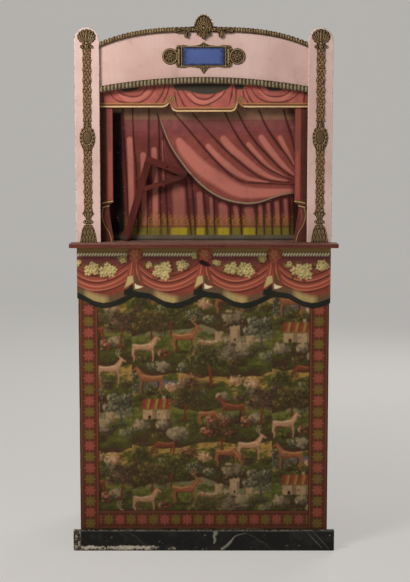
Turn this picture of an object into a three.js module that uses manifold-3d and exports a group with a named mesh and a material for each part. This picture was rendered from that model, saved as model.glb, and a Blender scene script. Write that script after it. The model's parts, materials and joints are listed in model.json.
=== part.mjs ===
// Puppet theatre stand: a papered front with a marbled plinth, a pink proscenium with gilt
// ornaments, a roll-up painted curtain and two side wings that fold in behind the box.
// Millimetres, +Z up, the audience looks along +Y. The origin is under the middle of the stand.
import * as THREE from "three";
import { mergeVertices } from "three/addons/utils/BufferGeometryUtils.js";
import Module from "manifold-3d";

const wasm = await Module();
wasm.setup();

// Clearances
const fit = 0.3; // gap between faces that meet
const runningFit = 0.4; // gap round what turns or slides
const overrun = 5; // how far a cutter passes the face it cuts

// Main box
const sideDrop = 56; // from the top of the pilasters to the top of the sides
const panelWidth = 834;
const panelThickness = 12;
const boxDepth = 120;
const sideThickness = 16;

// Wings
const wingLength = 380;
const ledgeThickness = 12;
const ledgeHeight = 60;
const ledgeInset = 30; // from the hinged edge to the end of a ledge
const ledgeEdge = 12; // from the free edge to the other end
const bottomLedgeHeight = 90; // above the floor
const middleLedgeShare = 0.51; // of the height of the sides
const topLedgeDrop = 90; // from the top of the sides

// Plinth
const plinthHeight = 72;
const plinthThickness = 14;
const plinthOverhang = 24; // beyond each side of the papered front
const plinthChamfer = 2;

// Playboard
const playboardHorn = 24; // beyond each side
const playboardTop = 1046;
const playboardThickness = 14;
const playboardReach = 60; // in front of the papered front
const playboardRear = 95; // behind it

// Battens and rails inside the box
const battenDepth = 20;
const battenHeight = 46;
const battenFootGap = 24;
const railDepth = 24;
const railHeight = 50;
const tieRailBottom = 84;

// Printed border strip with a scalloped lower edge
const borderThickness = 2;
const borderOverhang = 3.5; // past each side of the papered front
const borderNotchDrop = 166; // from the playboard to the notches under the knots
const borderScallopDepth = 39; // from a notch to the lowest point of a scallop
const scallopPitch = 231;

// Pilasters
const prosceniumOverhang = 5; // of the pilasters past each side
const pilasterWidth = 81;
const pilasterHeight = 700; // above the playboard
const pilasterArcSteps = 20;

// Fronton: its heights are measured down from the top of the pilasters
const frontonEndDrop = 54;
const frontonRise = 50;
const frontonTopPower = 3;
const frontonBottomDrop = 199;
const archRise = 30;
const archPower = 2;
const frontonSteps = 32;
const archTrimHeight = 21;
const archTrimDepth = 9;
const beadPitch = 14.6;
const beadRadius = 6.2;
const beadSteps = 4;
const topTrimDepth = 5;
const topTrimBelow = 10;
const topTrimAbove = 5;

// Crest: a fan shell between two scrolled arms, with a leaf pendant
const crestRise = 44; // above the pilasters
const crestHeight = 83;
const crestHalfWidth = 99;
const crestThickness = 8;
const crestShellHalfWidth = 34;
const crestShellHinge = 34; // above the tip of the pendant
const crestLobes = 9;
const lobeDepth = 2.6;
const lobeSteps = 4;

// Name plate, left bare, and its gilt frame with two rosettes
const plateWidth = 138;
const plateHeight = 57;
const plateThickness = 4;
const plateDrop = 92; // from the top of the pilasters to the centre of the plate
const cartoucheHalfWidth = 136;
const cartoucheTop = 47; // finial above the centre of the plate
const cartoucheBottom = 57; // pendant below it
const cartoucheBodyHalfWidth = 92;
const cartoucheBodyHalfHeight = 37;
const cartoucheThickness = 6;
const rosetteRadius = 26.5;
const rosetteSteps = 20;

// Gilt ornaments on each pilaster
const ornamentDepth = 5;
const shellHalfWidth = 30.5;
const shellRadius = 25; // half the height of its fan
const shellHeight = 66; // with its volutes
const shellDrop = 4; // from the top of the pilaster
const shellLobes = 11;
const shellOpenTurn = THREE.MathUtils.degToRad(57); // how far its rim runs below the middle
const shellVoluteRadius = 6.5;
const shellVoluteReach = 22; // from the middle to the outer edge of a volute
const shellVoluteRise = 8.5;
const stripWidth = 27;
const stripWave = 1.3;
const stripPitch = 33;
const stripSteps = 6;
const medallionDrop = 303; // from the top of the pilaster
const medallionHeight = 96;
const medallionHalfWidth = 25;
const medallionSteps = 28;
const footHeight = 101;
const footHalfWidth = 28;

// Painted drapery boards: heights are measured down from the top of the pilasters
const draperyThickness = 8;
const valanceTopDrop = 96;
const valanceSideDrop = 257;
const valanceCentreDrop = 271;
const valanceKnot = 112; // from the middle to each knot
const valanceKnotLift = 15;
const valanceHook = 22;
const legShow = 40; // how far each leg shows past its pilaster
const legTopDrop = 186;
const tieRise = 132; // above the playboard
const tieNotch = 14;

// Roll-up curtain
const rollerRadius = 13;
const rollerDrop = 146; // from the top of the pilasters
const rollerFromRear = 30;
const rollerEndGap = 6;
const rollerPinRadius = 4;
const rollerSides = 24;
const curtainSideGap = 15.7; // from each side board to the canvas
const curtainThickness = 1.5;
const battenAbovePlayboard = 6;
const curtainBattenHeight = 22;
const curtainBattenThickness = 8;
const bracketThickness = 3;
const bracketHeight = 50;

// Gallows-shaped wooden prop that pivots at its foot
const propLean = THREE.MathUtils.degToRad(16.3);
const propFromLeg = 43; // from the left leg to the pivot
const propFootGap = 2;
const propThickness = 16;
const propPlane = 43; // from the papered front to the front of the prop
const postWidth = 23;
const postLength = 281; // from the pivot to the top of the beam
const beamWidth = 22;
const beamReach = 135; // from the middle of the post to the end of the beam
const beamDroop = THREE.MathUtils.degToRad(5.5);
const beamHoleRadius = 3;
const braceWidth = 16;
const braceFoot = 161; // above the pivot
const footBlockWidth = 24;
const footBlockHeight = 34;
const footBlockDepth = 10;
const pivotRadius = 3;
const pivotHeadRadius = 5.5;
const pivotHeadHeight = 2;
const pivotBite = 8;
const pivotSides = 16;

// Strip hinges
const hingeBottom = 60;
const hingeTopGap = 30;
const leafThickness = 1.5;
const leafWidth = 12;
const barrelRadius = 4;
const hingePinRadius = 1.6;
const knucklePairs = 5;
const barrelSides = 12;
const hingePinSides = 10;

// Planes that the pieces share, from front to back
const depth = playboardReach + boxDepth + wingLength;
const frontY = -depth / 2 + playboardReach;
const boxRearY = frontY + boxDepth;
const wingRearY = boxRearY + wingLength;
const panelRearY = frontY + panelThickness;
const frontonFrontY = panelRearY + fit;
const frontonRearY = frontonFrontY + panelThickness;
const valanceRearY = frontonRearY + fit + draperyThickness;
const legRearY = valanceRearY + fit + draperyThickness;
const rollerY = boxRearY - rollerFromRear;
const curtainRearY = rollerY - rollerRadius - fit;
const outerX = panelWidth / 2;
const innerX = outerX - sideThickness;
const betweenX = innerX - fit; // half length of what stands between the sides
const playboardBottom = playboardTop - playboardThickness;
const stageFloor = playboardTop + fit;
const panelTop = playboardBottom - fit;
const playboardWidth = panelWidth + 2 * playboardHorn;
const prosceniumWidth = panelWidth + 2 * prosceniumOverhang;
const curtainWidth = 2 * (betweenX - curtainSideGap);
const borderPeak = panelTop - borderNotchDrop;
const borderLow = borderPeak - borderScallopDepth;
const pilasterTop = playboardTop + pilasterHeight;
const sideHeight = pilasterTop - sideDrop;
const hingeTop = sideHeight - hingeTopGap;
const frontonEndTop = pilasterTop - frontonEndDrop;
const frontonEndBottom = pilasterTop - frontonBottomDrop;
const crestTop = pilasterTop + crestRise;
const plateCentre = pilasterTop - plateDrop;
const shellTop = pilasterTop - shellDrop;
const medallionTop = pilasterTop - medallionDrop;
const valanceTop = pilasterTop - valanceTopDrop;
const valanceSideBottom = pilasterTop - valanceSideDrop;
const valanceCentreBottom = pilasterTop - valanceCentreDrop;
const legTop = pilasterTop - legTopDrop;
const tieHeight = playboardTop + tieRise;
const rollerHeight = pilasterTop - rollerDrop;
const pilasterX = prosceniumWidth / 2 - pilasterWidth / 2;
const pilasterInnerX = prosceniumWidth / 2 - pilasterWidth;
const legInner = pilasterInnerX - legShow;
const propX = propFromLeg - legInner;

// Finishes
function finish(color, roughness, metalness = 0) {
  return new THREE.MeshStandardMaterial({ color, roughness, metalness });
}
const marble = finish(0x23261f, 0.35);
const tapestry = finish(0x4b4f2c, 0.85);
const plum = finish(0x7a3d3a, 0.8);
const pinkPaint = finish(0xc9a79a, 0.75);
const maroonPaint = finish(0x5c3230, 0.55);
const gilt = finish(0x7d6540, 0.5, 0.4);
const bluePaint = finish(0x4f6690, 0.6);
const drapery = finish(0x9a4f48, 0.8);
const canvas = finish(0x96524a, 0.9);
const bareWood = finish(0x8a6b48, 0.8);
const darkWood = finish(0x4a2420, 0.7);
const brass = finish(0x9a8350, 0.45, 0.8);

const stand = new THREE.Group();

// Adds a named mesh to the stand, or to a group in it.
function add(name, geometry, material, into = stand) {
  const mesh = new THREE.Mesh(geometry, material);
  mesh.name = name;
  into.add(mesh);
  return mesh;
}

// A square-edged piece of timber between two limits along each axis.
function timber(name, [x0, x1], [y0, y1], [z0, z1], material) {
  const low = Math.min(x0, x1);
  const geometry = new THREE.BoxGeometry(Math.abs(x1 - x0), y1 - y0, z1 - z0);
  const mesh = add(name, geometry, material);
  mesh.position.set(low + Math.abs(x1 - x0) / 2, (y0 + y1) / 2, (z0 + z1) / 2);
  return mesh;
}

// A closed outline of [x, z] points, with optional holes.
function outline(points, holes = []) {
  const shape = new THREE.Shape(points.map(([x, z]) => new THREE.Vector2(x, z)));
  for (const hole of holes) {
    shape.holes.push(new THREE.Path(hole.map(([x, z]) => new THREE.Vector2(x, z))));
  }
  return shape;
}

// The outline's solid, of one thickness.
function cutOut(shape, thickness) {
  return new THREE.ExtrudeGeometry(shape, { depth: thickness, bevelEnabled: false });
}

// An outline in X and Z that stands upright, with its back at rearY.
function upright(name, shape, thickness, rearY, material, into = stand) {
  const mesh = add(name, cutOut(shape, thickness), material, into);
  mesh.rotation.x = Math.PI / 2;
  mesh.position.y = rearY;
  return mesh;
}

// Points of a round stretch, from one angle to another.
function arc([x, z], [radiusX, radiusZ], from, to, steps) {
  const points = [];
  for (let i = 0; i <= steps; i++) {
    const angle = from + ((to - from) * i) / steps;
    points.push([x + radiusX * Math.cos(angle), z + radiusZ * Math.sin(angle)]);
  }
  return points;
}

// A full circle, which does not repeat its first point.
function circle(centre, radius, steps) {
  const turn = (2 * Math.PI * (steps - 1)) / steps;
  return arc(centre, [radius, radius], 0, turn, steps - 1);
}

// Points of a fan shell whose rim swells into lobes.
function fan([x, z], [radiusX, radiusZ], lobes, from, to) {
  const points = [];
  const count = lobes * lobeSteps;
  for (let i = 0; i <= count; i++) {
    const angle = from + ((to - from) * i) / count;
    const inLobe = (i % lobeSteps) / lobeSteps;
    const swell = lobeDepth * (Math.sin(Math.PI * inLobe) - 1);
    points.push([
      x + (radiusX + swell) * Math.cos(angle),
      z + (radiusZ + swell) * Math.sin(angle),
    ]);
  }
  return points;
}

// Half an outline, from bottom to top on the right, with its mirror image on the left.
function mirrored(half) {
  const left = half
    .filter(([x]) => x > 0)
    .map(([x, z]) => [-x, z])
    .reverse();
  return [...half, ...left];
}

// Points given as shares of a width and a height.
function scaled(shares, width, height, base = 0) {
  return shares.map(([x, z]) => [x * width, base + z * height]);
}

// A smooth line through chosen points.
function smooth(points, steps) {
  const line = new THREE.SplineCurve(points.map(([x, z]) => new THREE.Vector2(x, z)));
  return line.getPoints(steps).map((p) => [p.x, p.y]);
}

// The solid of a geometry, placed where its mesh would be.
function solid(geometry, place = new THREE.Matrix4()) {
  const bare = geometry.clone().applyMatrix4(place);
  bare.deleteAttribute("normal");
  bare.deleteAttribute("uv");
  const merged = mergeVertices(bare);
  return new wasm.Manifold(
    new wasm.Mesh({
      numProp: 3,
      vertProperties: new Float32Array(merged.attributes.position.array),
      triVerts: new Uint32Array(merged.index.array),
    }),
  );
}

// The geometry of a solid.
function geometryOf(made) {
  const mesh = made.getMesh();
  const geometry = new THREE.BufferGeometry();
  const position = new THREE.BufferAttribute(mesh.vertProperties, 3);
  geometry.setAttribute("position", position);
  geometry.setIndex(new THREE.BufferAttribute(mesh.triVerts, 1));
  geometry.computeVertexNormals();
  return geometry;
}

// A solid box between two limits along each axis.
function block([x0, x1], [y0, y1], [z0, z1]) {
  const low = Math.min(x0, x1);
  const width = Math.abs(x1 - x0);
  const place = new THREE.Matrix4();
  place.setPosition(low + width / 2, (y0 + y1) / 2, (z0 + z1) / 2);
  return solid(new THREE.BoxGeometry(width, y1 - y0, z1 - z0), place);
}

// A solid upright rod.
function rod(x, y, [z0, z1], radius, sides) {
  const geometry = new THREE.CylinderGeometry(radius, radius, z1 - z0, sides);
  geometry.rotateX(Math.PI / 2);
  return solid(geometry, new THREE.Matrix4().setPosition(x, y, (z0 + z1) / 2));
}

const sides = [
  ["left", -1],
  ["right", 1],
];

// Plinth: a marbled board across the front, with a separate block at its left end
function makePlinth() {
  const frontFace = frontY - plinthThickness;
  const half = outerX + plinthOverhang;
  const chamferZ = plinthHeight - plinthChamfer;
  const section = outline([
    [frontFace, 0],
    [frontY - fit, 0],
    [frontY - fit, plinthHeight],
    [frontFace + plinthChamfer, plinthHeight],
    [frontFace, chamferZ],
  ]);
  const runs = {
    plinth_front_board: [-outerX + fit, half],
    plinth_end_block: [-half, -outerX],
  };
  for (const [name, [from, to]] of Object.entries(runs)) {
    const board = add(name, cutOut(section, to - from), marble);
    board.rotation.set(Math.PI / 2, Math.PI / 2, 0);
    board.position.x = from;
  }
}

// Box: papered front, two sides, and the battens and rails between them
function makeBox() {
  const behindFront = [panelRearY + fit, panelRearY + fit + battenDepth];
  const across = [-betweenX, betweenX];
  timber("lower_panel", [-outerX, outerX], [frontY, panelRearY], [0, panelTop], tapestry);
  const footBatten = [battenFootGap, battenFootGap + battenHeight];
  timber("panel_bottom_batten", across, behindFront, footBatten, bareWood);
  const topBatten = [panelTop - battenHeight, panelTop];
  timber("panel_top_batten", across, behindFront, topBatten, bareWood);
  const railY = [rollerY - railDepth / 2, rollerY + railDepth / 2];
  const tieZ = [tieRailBottom, tieRailBottom + railHeight];
  timber("lower_tie_rail", across, railY, tieZ, bareWood);
  timber("top_rail", across, railY, [sideHeight - railHeight, sideHeight], bareWood);
  for (const [side, sign] of sides) {
    const x = [sign * innerX, sign * outerX];
    const y = [panelRearY + fit, boxRearY];
    timber(`${side}_side_board`, x, y, [0, sideHeight], pinkPaint);
  }
}

// Wings: one board each, with three ledges across its inner face
function makeWings() {
  for (const [side, sign] of sides) {
    const x = [sign * innerX, sign * outerX];
    const y = [boxRearY + fit, wingRearY];
    timber(`${side}_wing_board`, x, y, [0, sideHeight], pinkPaint);
    const ledgeX = [sign * (innerX - fit), sign * (innerX - ledgeThickness)];
    const ledgeY = [boxRearY + ledgeInset, wingRearY - ledgeEdge];
    const bottoms = {
      bottom: bottomLedgeHeight,
      middle: middleLedgeShare * sideHeight,
      top: sideHeight - topLedgeDrop,
    };
    for (const [level, z] of Object.entries(bottoms)) {
      const ledgeZ = [z, z + ledgeHeight];
      timber(`${side}_wing_${level}_ledge`, ledgeX, ledgeY, ledgeZ, bareWood);
    }
  }
}

// Strip hinges: the knuckles of the two leaves take turns along one pin
function makeHinges() {
  const pitch = (hingeTop - hingeBottom) / (2 * knucklePairs);
  for (const [side, sign] of sides) {
    const backX = sign * (innerX - fit);
    const axisX = sign * (innerX - fit - barrelRadius);
    const plateX = [backX, sign * (innerX - fit - leafThickness)];
    const bore = rod(
      axisX,
      boxRearY,
      [hingeBottom - overrun, hingeTop + overrun],
      hingePinRadius + runningFit,
      hingePinSides,
    );
    const leaf = (first, direction) => {
      const near = boxRearY + direction * (barrelRadius + runningFit);
      const far = boxRearY + direction * (barrelRadius + leafWidth);
      const plateY = [Math.min(near, far), Math.max(near, far)];
      let made = block(plateX, plateY, [hingeBottom, hingeTop]);
      for (let i = first; i < 2 * knucklePairs; i += 2) {
        const low = hingeBottom + i * pitch;
        const span = [low + runningFit / 2, low + pitch - runningFit / 2];
        const tabY = direction > 0 ? [boxRearY, far] : [far, boxRearY];
        made = made.add(block(plateX, tabY, span));
        made = made.add(rod(axisX, boxRearY, span, barrelRadius, barrelSides));
      }
      return geometryOf(made.subtract(bore));
    };
    add(`${side}_hinge_fixed_leaf`, leaf(0, -1), brass);
    add(`${side}_hinge_moving_leaf`, leaf(1, 1), brass);
    const length = [hingeBottom, hingeTop];
    const pin = rod(axisX, boxRearY, length, hingePinRadius, hingePinSides);
    add(`${side}_hinge_pin`, geometryOf(pin), brass);
  }
}

// Playboard: its horns cover the front of both sides, its tongue lies between them
function makePlayboard() {
  const front = frontY - playboardReach;
  const rear = frontY + playboardRear;
  const half = playboardWidth / 2;
  const shape = outline(
    mirrored([
      [half, front],
      [half, panelRearY],
      [betweenX, panelRearY],
      [betweenX, rear],
    ]),
  );
  const board = add("playboard", cutOut(shape, playboardThickness), maroonPaint);
  board.position.z = playboardBottom;
}

// One scallop, from notch to notch: places along the pitch, and how far down the scallop reaches
const scallopShares = [
  [0, 0],
  [0.1, 0.08],
  [0.22, 0.18],
  [0.32, 0.5],
  [0.43, 0.84],
  [0.55, 1],
  [0.66, 0.93],
  [0.76, 0.72],
  [0.86, 0.44],
  [0.94, 0.2],
];

// Printed border strip, with a scallop under each swag and a notch under each knot
function makeBorderStrip() {
  const half = outerX + borderOverhang;
  const reach = Math.ceil(half / scallopPitch);
  const line = [];
  for (let knot = -reach; knot < reach; knot++) {
    for (const [along, down] of scallopShares) {
      line.push([(knot + along) * scallopPitch, borderPeak - down * borderScallopDepth]);
    }
  }
  // Height of the lower edge at the end of the strip, between two chosen points
  const heightAt = (x) => {
    const next = line.findIndex((p) => p[0] > x);
    const [[x0, z0], [x1, z1]] = [line[next - 1], line[next]];
    return z0 + ((z1 - z0) * (x - x0)) / (x1 - x0);
  };
  const shape = outline([
    [-half, heightAt(-half)],
    ...line.filter(([x]) => Math.abs(x) < half - fit),
    [half, heightAt(half)],
    [half, panelTop],
    [-half, panelTop],
  ]);
  upright("scalloped_border", shape, borderThickness, frontY - fit, plum);
}

// Pilasters with round heads, and the gilt ornaments down the middle of each
function makePilasters() {
  const radius = pilasterWidth / 2;
  const stripTop = shellTop - shellHeight;
  const medallionBottom = medallionTop - medallionHeight;
  const footTop = stageFloor + footHeight;
  const rear = frontY - fit;
  const board = outline([
    [-radius, stageFloor],
    [radius, stageFloor],
    ...arc([0, pilasterTop - radius], [radius, radius], 0, Math.PI, pilasterArcSteps),
  ]);
  for (const [side, sign] of sides) {
    const at = new THREE.Group();
    at.position.x = sign * pilasterX;
    stand.add(at);
    const ornament = (name, shape, thickness = ornamentDepth) =>
      upright(`${side}_pilaster_${name}`, shape, thickness, rear, gilt, at);
    upright(`${side}_pilaster`, board, panelThickness, panelRearY, pinkPaint, at);
    ornament("shell", pilasterShell(stripTop), ornamentDepth + fit);
    ornament("upper_strip", waveStrip(medallionTop + fit, stripTop - fit));
    ornament("medallion", medallion(medallionBottom));
    ornament("lower_strip", waveStrip(footTop + fit, medallionBottom - fit));
    ornament("foot", foot(stageFloor));
  }
}

// A round fan shell that stands on two small volutes
function pilasterShell(base) {
  const centre = [0, shellTop - shellRadius];
  const volute = [shellVoluteReach - shellVoluteRadius, base + shellVoluteRise];
  const volutes = [shellVoluteRadius, shellVoluteRadius];
  const right = [
    [stripWidth / 2, base],
    ...arc(volute, volutes, -0.6 * Math.PI, 0.6 * Math.PI, 6),
  ];
  const left = right.map(([x, z]) => [-x, z]).reverse();
  const radii = [shellHalfWidth, shellRadius];
  const disc = fan(centre, radii, shellLobes, -shellOpenTurn, Math.PI + shellOpenTurn);
  return outline([...right, ...disc, ...left]);
}

// A strip whose two edges swell and narrow in step
function waveStrip(bottom, top) {
  const waves = Math.max(1, Math.round((top - bottom) / stripPitch));
  const count = waves * stripSteps;
  const right = [];
  for (let i = 0; i <= count; i++) {
    const z = bottom + ((top - bottom) * i) / count;
    const turn = (2 * Math.PI * i) / stripSteps;
    right.push([stripWidth / 2 + stripWave * Math.cos(turn), z]);
  }
  return outline(mirrored(right));
}

const medallionShares = [
  [0.54, 0],
  [0.62, 0.08],
  [0.84, 0.2],
  [0.98, 0.34],
  [1, 0.48],
  [0.96, 0.6],
  [0.8, 0.68],
  [0.82, 0.74],
  [0.5, 0.79],
  [0.52, 0.9],
  [0.44, 0.96],
  [0.54, 1],
];

function medallion(bottom) {
  const right = scaled(medallionShares, medallionHalfWidth, medallionHeight, bottom);
  return outline(mirrored(smooth(right, medallionSteps)));
}

const footShares = [
  [1, 0],
  [0.96, 0.06],
  [0.87, 0.23],
  [0.72, 0.42],
  [0.52, 0.55],
  [0.24, 0.6],
  [0.58, 0.64],
  [0.58, 0.7],
  [0.26, 0.76],
  [0.42, 0.85],
  [0.72, 0.95],
  [0.5, 1],
];

function foot(bottom) {
  return outline(mirrored(scaled(footShares, footHalfWidth, footHeight, bottom)));
}

// A height along the fronton, from its end height, its rise and the power of its curve
function archHeight(x, end, rise, power) {
  const share = Math.min(1, Math.abs(x) / pilasterInnerX);
  return end + rise * (1 - share ** power);
}
const frontonTopAt = (x) => archHeight(x, frontonEndTop, frontonRise, frontonTopPower);
const frontonBottomAt = (x) => archHeight(x, frontonEndBottom, archRise, archPower);

// Points along a height line between two places
function alongX(from, to, steps, heightAt) {
  const points = [];
  for (let i = 0; i <= steps; i++) {
    const x = from + ((to - from) * i) / steps;
    points.push([x, heightAt(x)]);
  }
  return points;
}

// Fronton: an arched board behind the pilasters, with a gilt moulding along both edges
function makeFronton() {
  const shape = outline([
    ...alongX(-pilasterInnerX, pilasterInnerX, frontonSteps, frontonBottomAt),
    [betweenX, frontonEndBottom],
    [betweenX, frontonEndTop],
    ...alongX(pilasterInnerX, -pilasterInnerX, frontonSteps, frontonTopAt),
    [-betweenX, frontonEndTop],
    [-betweenX, frontonEndBottom],
  ]);
  upright("fronton", shape, panelThickness, frontonRearY, pinkPaint);

  const end = pilasterInnerX - fit;
  const half = archTrimHeight / 2;
  const band = outline([
    ...alongX(-end, end, frontonSteps, (x) => frontonBottomAt(x) - half),
    ...alongX(end, -end, frontonSteps, (x) => frontonBottomAt(x) + half),
  ]);
  upright("fronton_arch_moulding", band, archTrimDepth, frontonFrontY - fit, gilt);

  const beads = Math.round((2 * end) / beadPitch);
  const pitch = (2 * end) / beads;
  const crown = [];
  for (let i = beads - 1; i >= 0; i--) {
    const x = -end + (i + 0.5) * pitch;
    const centre = [x, frontonTopAt(x) + topTrimAbove - beadRadius / 2];
    const radii = [Math.min(beadRadius, pitch / 2), beadRadius];
    const bead = arc(centre, radii, 0, Math.PI, beadSteps);
    crown.push(...bead.slice(i === beads - 1 ? 0 : 1, i === 0 ? beadSteps + 1 : beadSteps));
  }
  const picot = outline([
    ...alongX(-end, end, frontonSteps, (x) => frontonTopAt(x) - topTrimBelow),
    ...crown,
  ]);
  upright("fronton_top_trim", picot, topTrimDepth, frontonFrontY - fit, gilt);
}

// Right half of the crest's arms and pendant, as shares, from the tip of the pendant up
const crestArmShares = [
  [0, 0],
  [0.07, 0.06],
  [0.1, 0.13],
  [0.24, 0.19],
  [0.22, 0.29],
  [0.13, 0.31],
  [0.3, 0.33],
  [0.46, 0.3],
  [0.5, 0.12],
  [0.56, 0.05],
  [0.63, 0.11],
  [0.66, 0.26],
  [0.9, 0.25],
  [1, 0.33],
  [0.99, 0.43],
  [0.9, 0.48],
  [0.6, 0.49],
  [0.36, 0.52],
];

function makeCrest() {
  const base = crestTop - crestHeight;
  const arms = scaled(crestArmShares, crestHalfWidth, crestHeight, base);
  const hinge = base + crestShellHinge;
  const radii = [crestShellHalfWidth, crestHeight - crestShellHinge];
  const left = arms
    .slice(1)
    .map(([x, z]) => [-x, z])
    .reverse();
  const shell = fan([0, hinge], radii, crestLobes, 0.25, Math.PI - 0.25);
  const rear = frontonFrontY - 2 * fit - topTrimDepth;
  upright("crest", outline([...arms, ...shell, ...left]), crestThickness, rear, gilt);
}

// Right half of the cartouche's frame between its rosettes, as shares of the body's size
const cartoucheBodyShares = [
  [0.16, -1],
  [0.5, -0.9],
  [0.72, -1],
  [0.95, -0.96],
  [1, -0.66],
];

function makeCartouche() {
  const rear = frontonFrontY - fit;
  const [halfWidth, halfHeight] = [cartoucheBodyHalfWidth, cartoucheBodyHalfHeight];
  const rosetteX = cartoucheHalfWidth - rosetteRadius;
  const lower = scaled(cartoucheBodyShares, halfWidth, halfHeight);
  const upper = lower.map(([x, z]) => [x, -z]).reverse();
  const open = Math.acos((halfWidth - rosetteX) / rosetteRadius);
  const radii = [rosetteRadius, rosetteRadius];
  const right = [
    [0, -cartoucheBottom],
    ...lower,
    ...arc([rosetteX, 0], radii, -open, open, rosetteSteps),
    ...upper,
    [0, cartoucheTop],
  ];
  const opening = [
    [-1, -1],
    [-1, 1],
    [1, 1],
    [1, -1],
  ];
  const hole = scaled(opening, plateWidth / 2 + fit, plateHeight / 2 + fit);
  const frame = upright(
    "cartouche_frame",
    outline(mirrored(right), [hole]),
    cartoucheThickness,
    rear,
    gilt,
  );
  frame.position.z = plateCentre;
  const plateX = [-plateWidth / 2, plateWidth / 2];
  const plateZ = [plateCentre - plateHeight / 2, plateCentre + plateHeight / 2];
  timber("cartouche_plate", plateX, [rear - plateThickness, rear], plateZ, bluePaint);
}

// Drapery boards: a valance in three swags, and a leg at each side with a drawn-in tie
function makeDrapery() {
  const hookX = valanceKnot - valanceHook / 2;
  const half = [
    [0, valanceCentreBottom],
    [hookX - valanceHook / 2, valanceCentreBottom],
    [hookX, valanceCentreBottom + valanceKnotLift / 4],
    [valanceKnot - valanceHook / 6, valanceSideBottom],
    [valanceKnot, valanceSideBottom + valanceKnotLift],
    [valanceKnot + valanceHook / 2, valanceSideBottom + valanceKnotLift / 4],
    [valanceKnot + valanceHook, valanceSideBottom],
    [betweenX, valanceSideBottom],
    [betweenX, valanceTop],
    [0, valanceTop],
  ];
  upright("valance_board", outline(mirrored(half)), draperyThickness, valanceRearY, drapery);

  const drop = tieHeight - stageFloor;
  const tailShares = [
    [0, 0],
    [0.1, 0.16],
    [0.45, 0.4],
    [0.75, 0.62],
    [1, 0.84],
    [0.9, 0.93],
    [0, 1],
    [0, 1.1],
  ];
  const edge = tailShares.map(([x, z]) => [legInner + x * tieNotch, stageFloor + z * drop]);
  for (const [side, sign] of sides) {
    const points = [...edge, [legInner, legTop], [betweenX, legTop], [betweenX, stageFloor]];
    const shape = outline(points.map(([x, z]) => [sign * x, z]));
    upright(`${side}_drapery_leg`, shape, draperyThickness, legRearY, drapery);
  }
}

// Curtain: roller in two brackets, the painted canvas, and the batten at its foot
function makeCurtain() {
  for (const [side, sign] of sides) {
    const half = railDepth / 2;
    const plate = outline(
      [
        [rollerY - half, rollerHeight - bracketHeight / 2],
        [rollerY + half, rollerHeight - bracketHeight / 2],
        [rollerY + half, rollerHeight + bracketHeight / 2],
        [rollerY - half, rollerHeight + bracketHeight / 2],
      ],
      [circle([rollerY, rollerHeight], rollerPinRadius + runningFit, rollerSides)],
    );
    const bracket = add(`${side}_roller_bracket`, cutOut(plate, bracketThickness), brass);
    bracket.rotation.set(Math.PI / 2, Math.PI / 2, 0);
    bracket.position.x = sign > 0 ? betweenX - bracketThickness : -betweenX;
  }
  const bodyEnd = betweenX - rollerEndGap;
  const pinEnd = betweenX - fit;
  const profile = [
    [0, -pinEnd],
    [rollerPinRadius, -pinEnd],
    [rollerPinRadius, -bodyEnd],
    [rollerRadius, -bodyEnd],
    [rollerRadius, bodyEnd],
    [rollerPinRadius, bodyEnd],
    [rollerPinRadius, pinEnd],
    [0, pinEnd],
  ].map(([x, y]) => new THREE.Vector2(x, y));
  const roller = add("curtain_roller", new THREE.LatheGeometry(profile, rollerSides), bareWood);
  roller.rotation.z = -Math.PI / 2;
  roller.position.set(0, rollerY, rollerHeight);

  const x = [-curtainWidth / 2, curtainWidth / 2];
  const battenBottom = playboardTop + battenAbovePlayboard;
  const battenTop = battenBottom + curtainBattenHeight;
  const middle = curtainRearY - curtainThickness / 2;
  const half = curtainBattenThickness / 2;
  const canvasY = [curtainRearY - curtainThickness, curtainRearY];
  timber("curtain_batten", x, [middle - half, middle + half], [battenBottom, battenTop], bareWood);
  timber("painted_curtain", x, canvasY, [battenTop + fit, rollerHeight], canvas);
}

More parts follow.
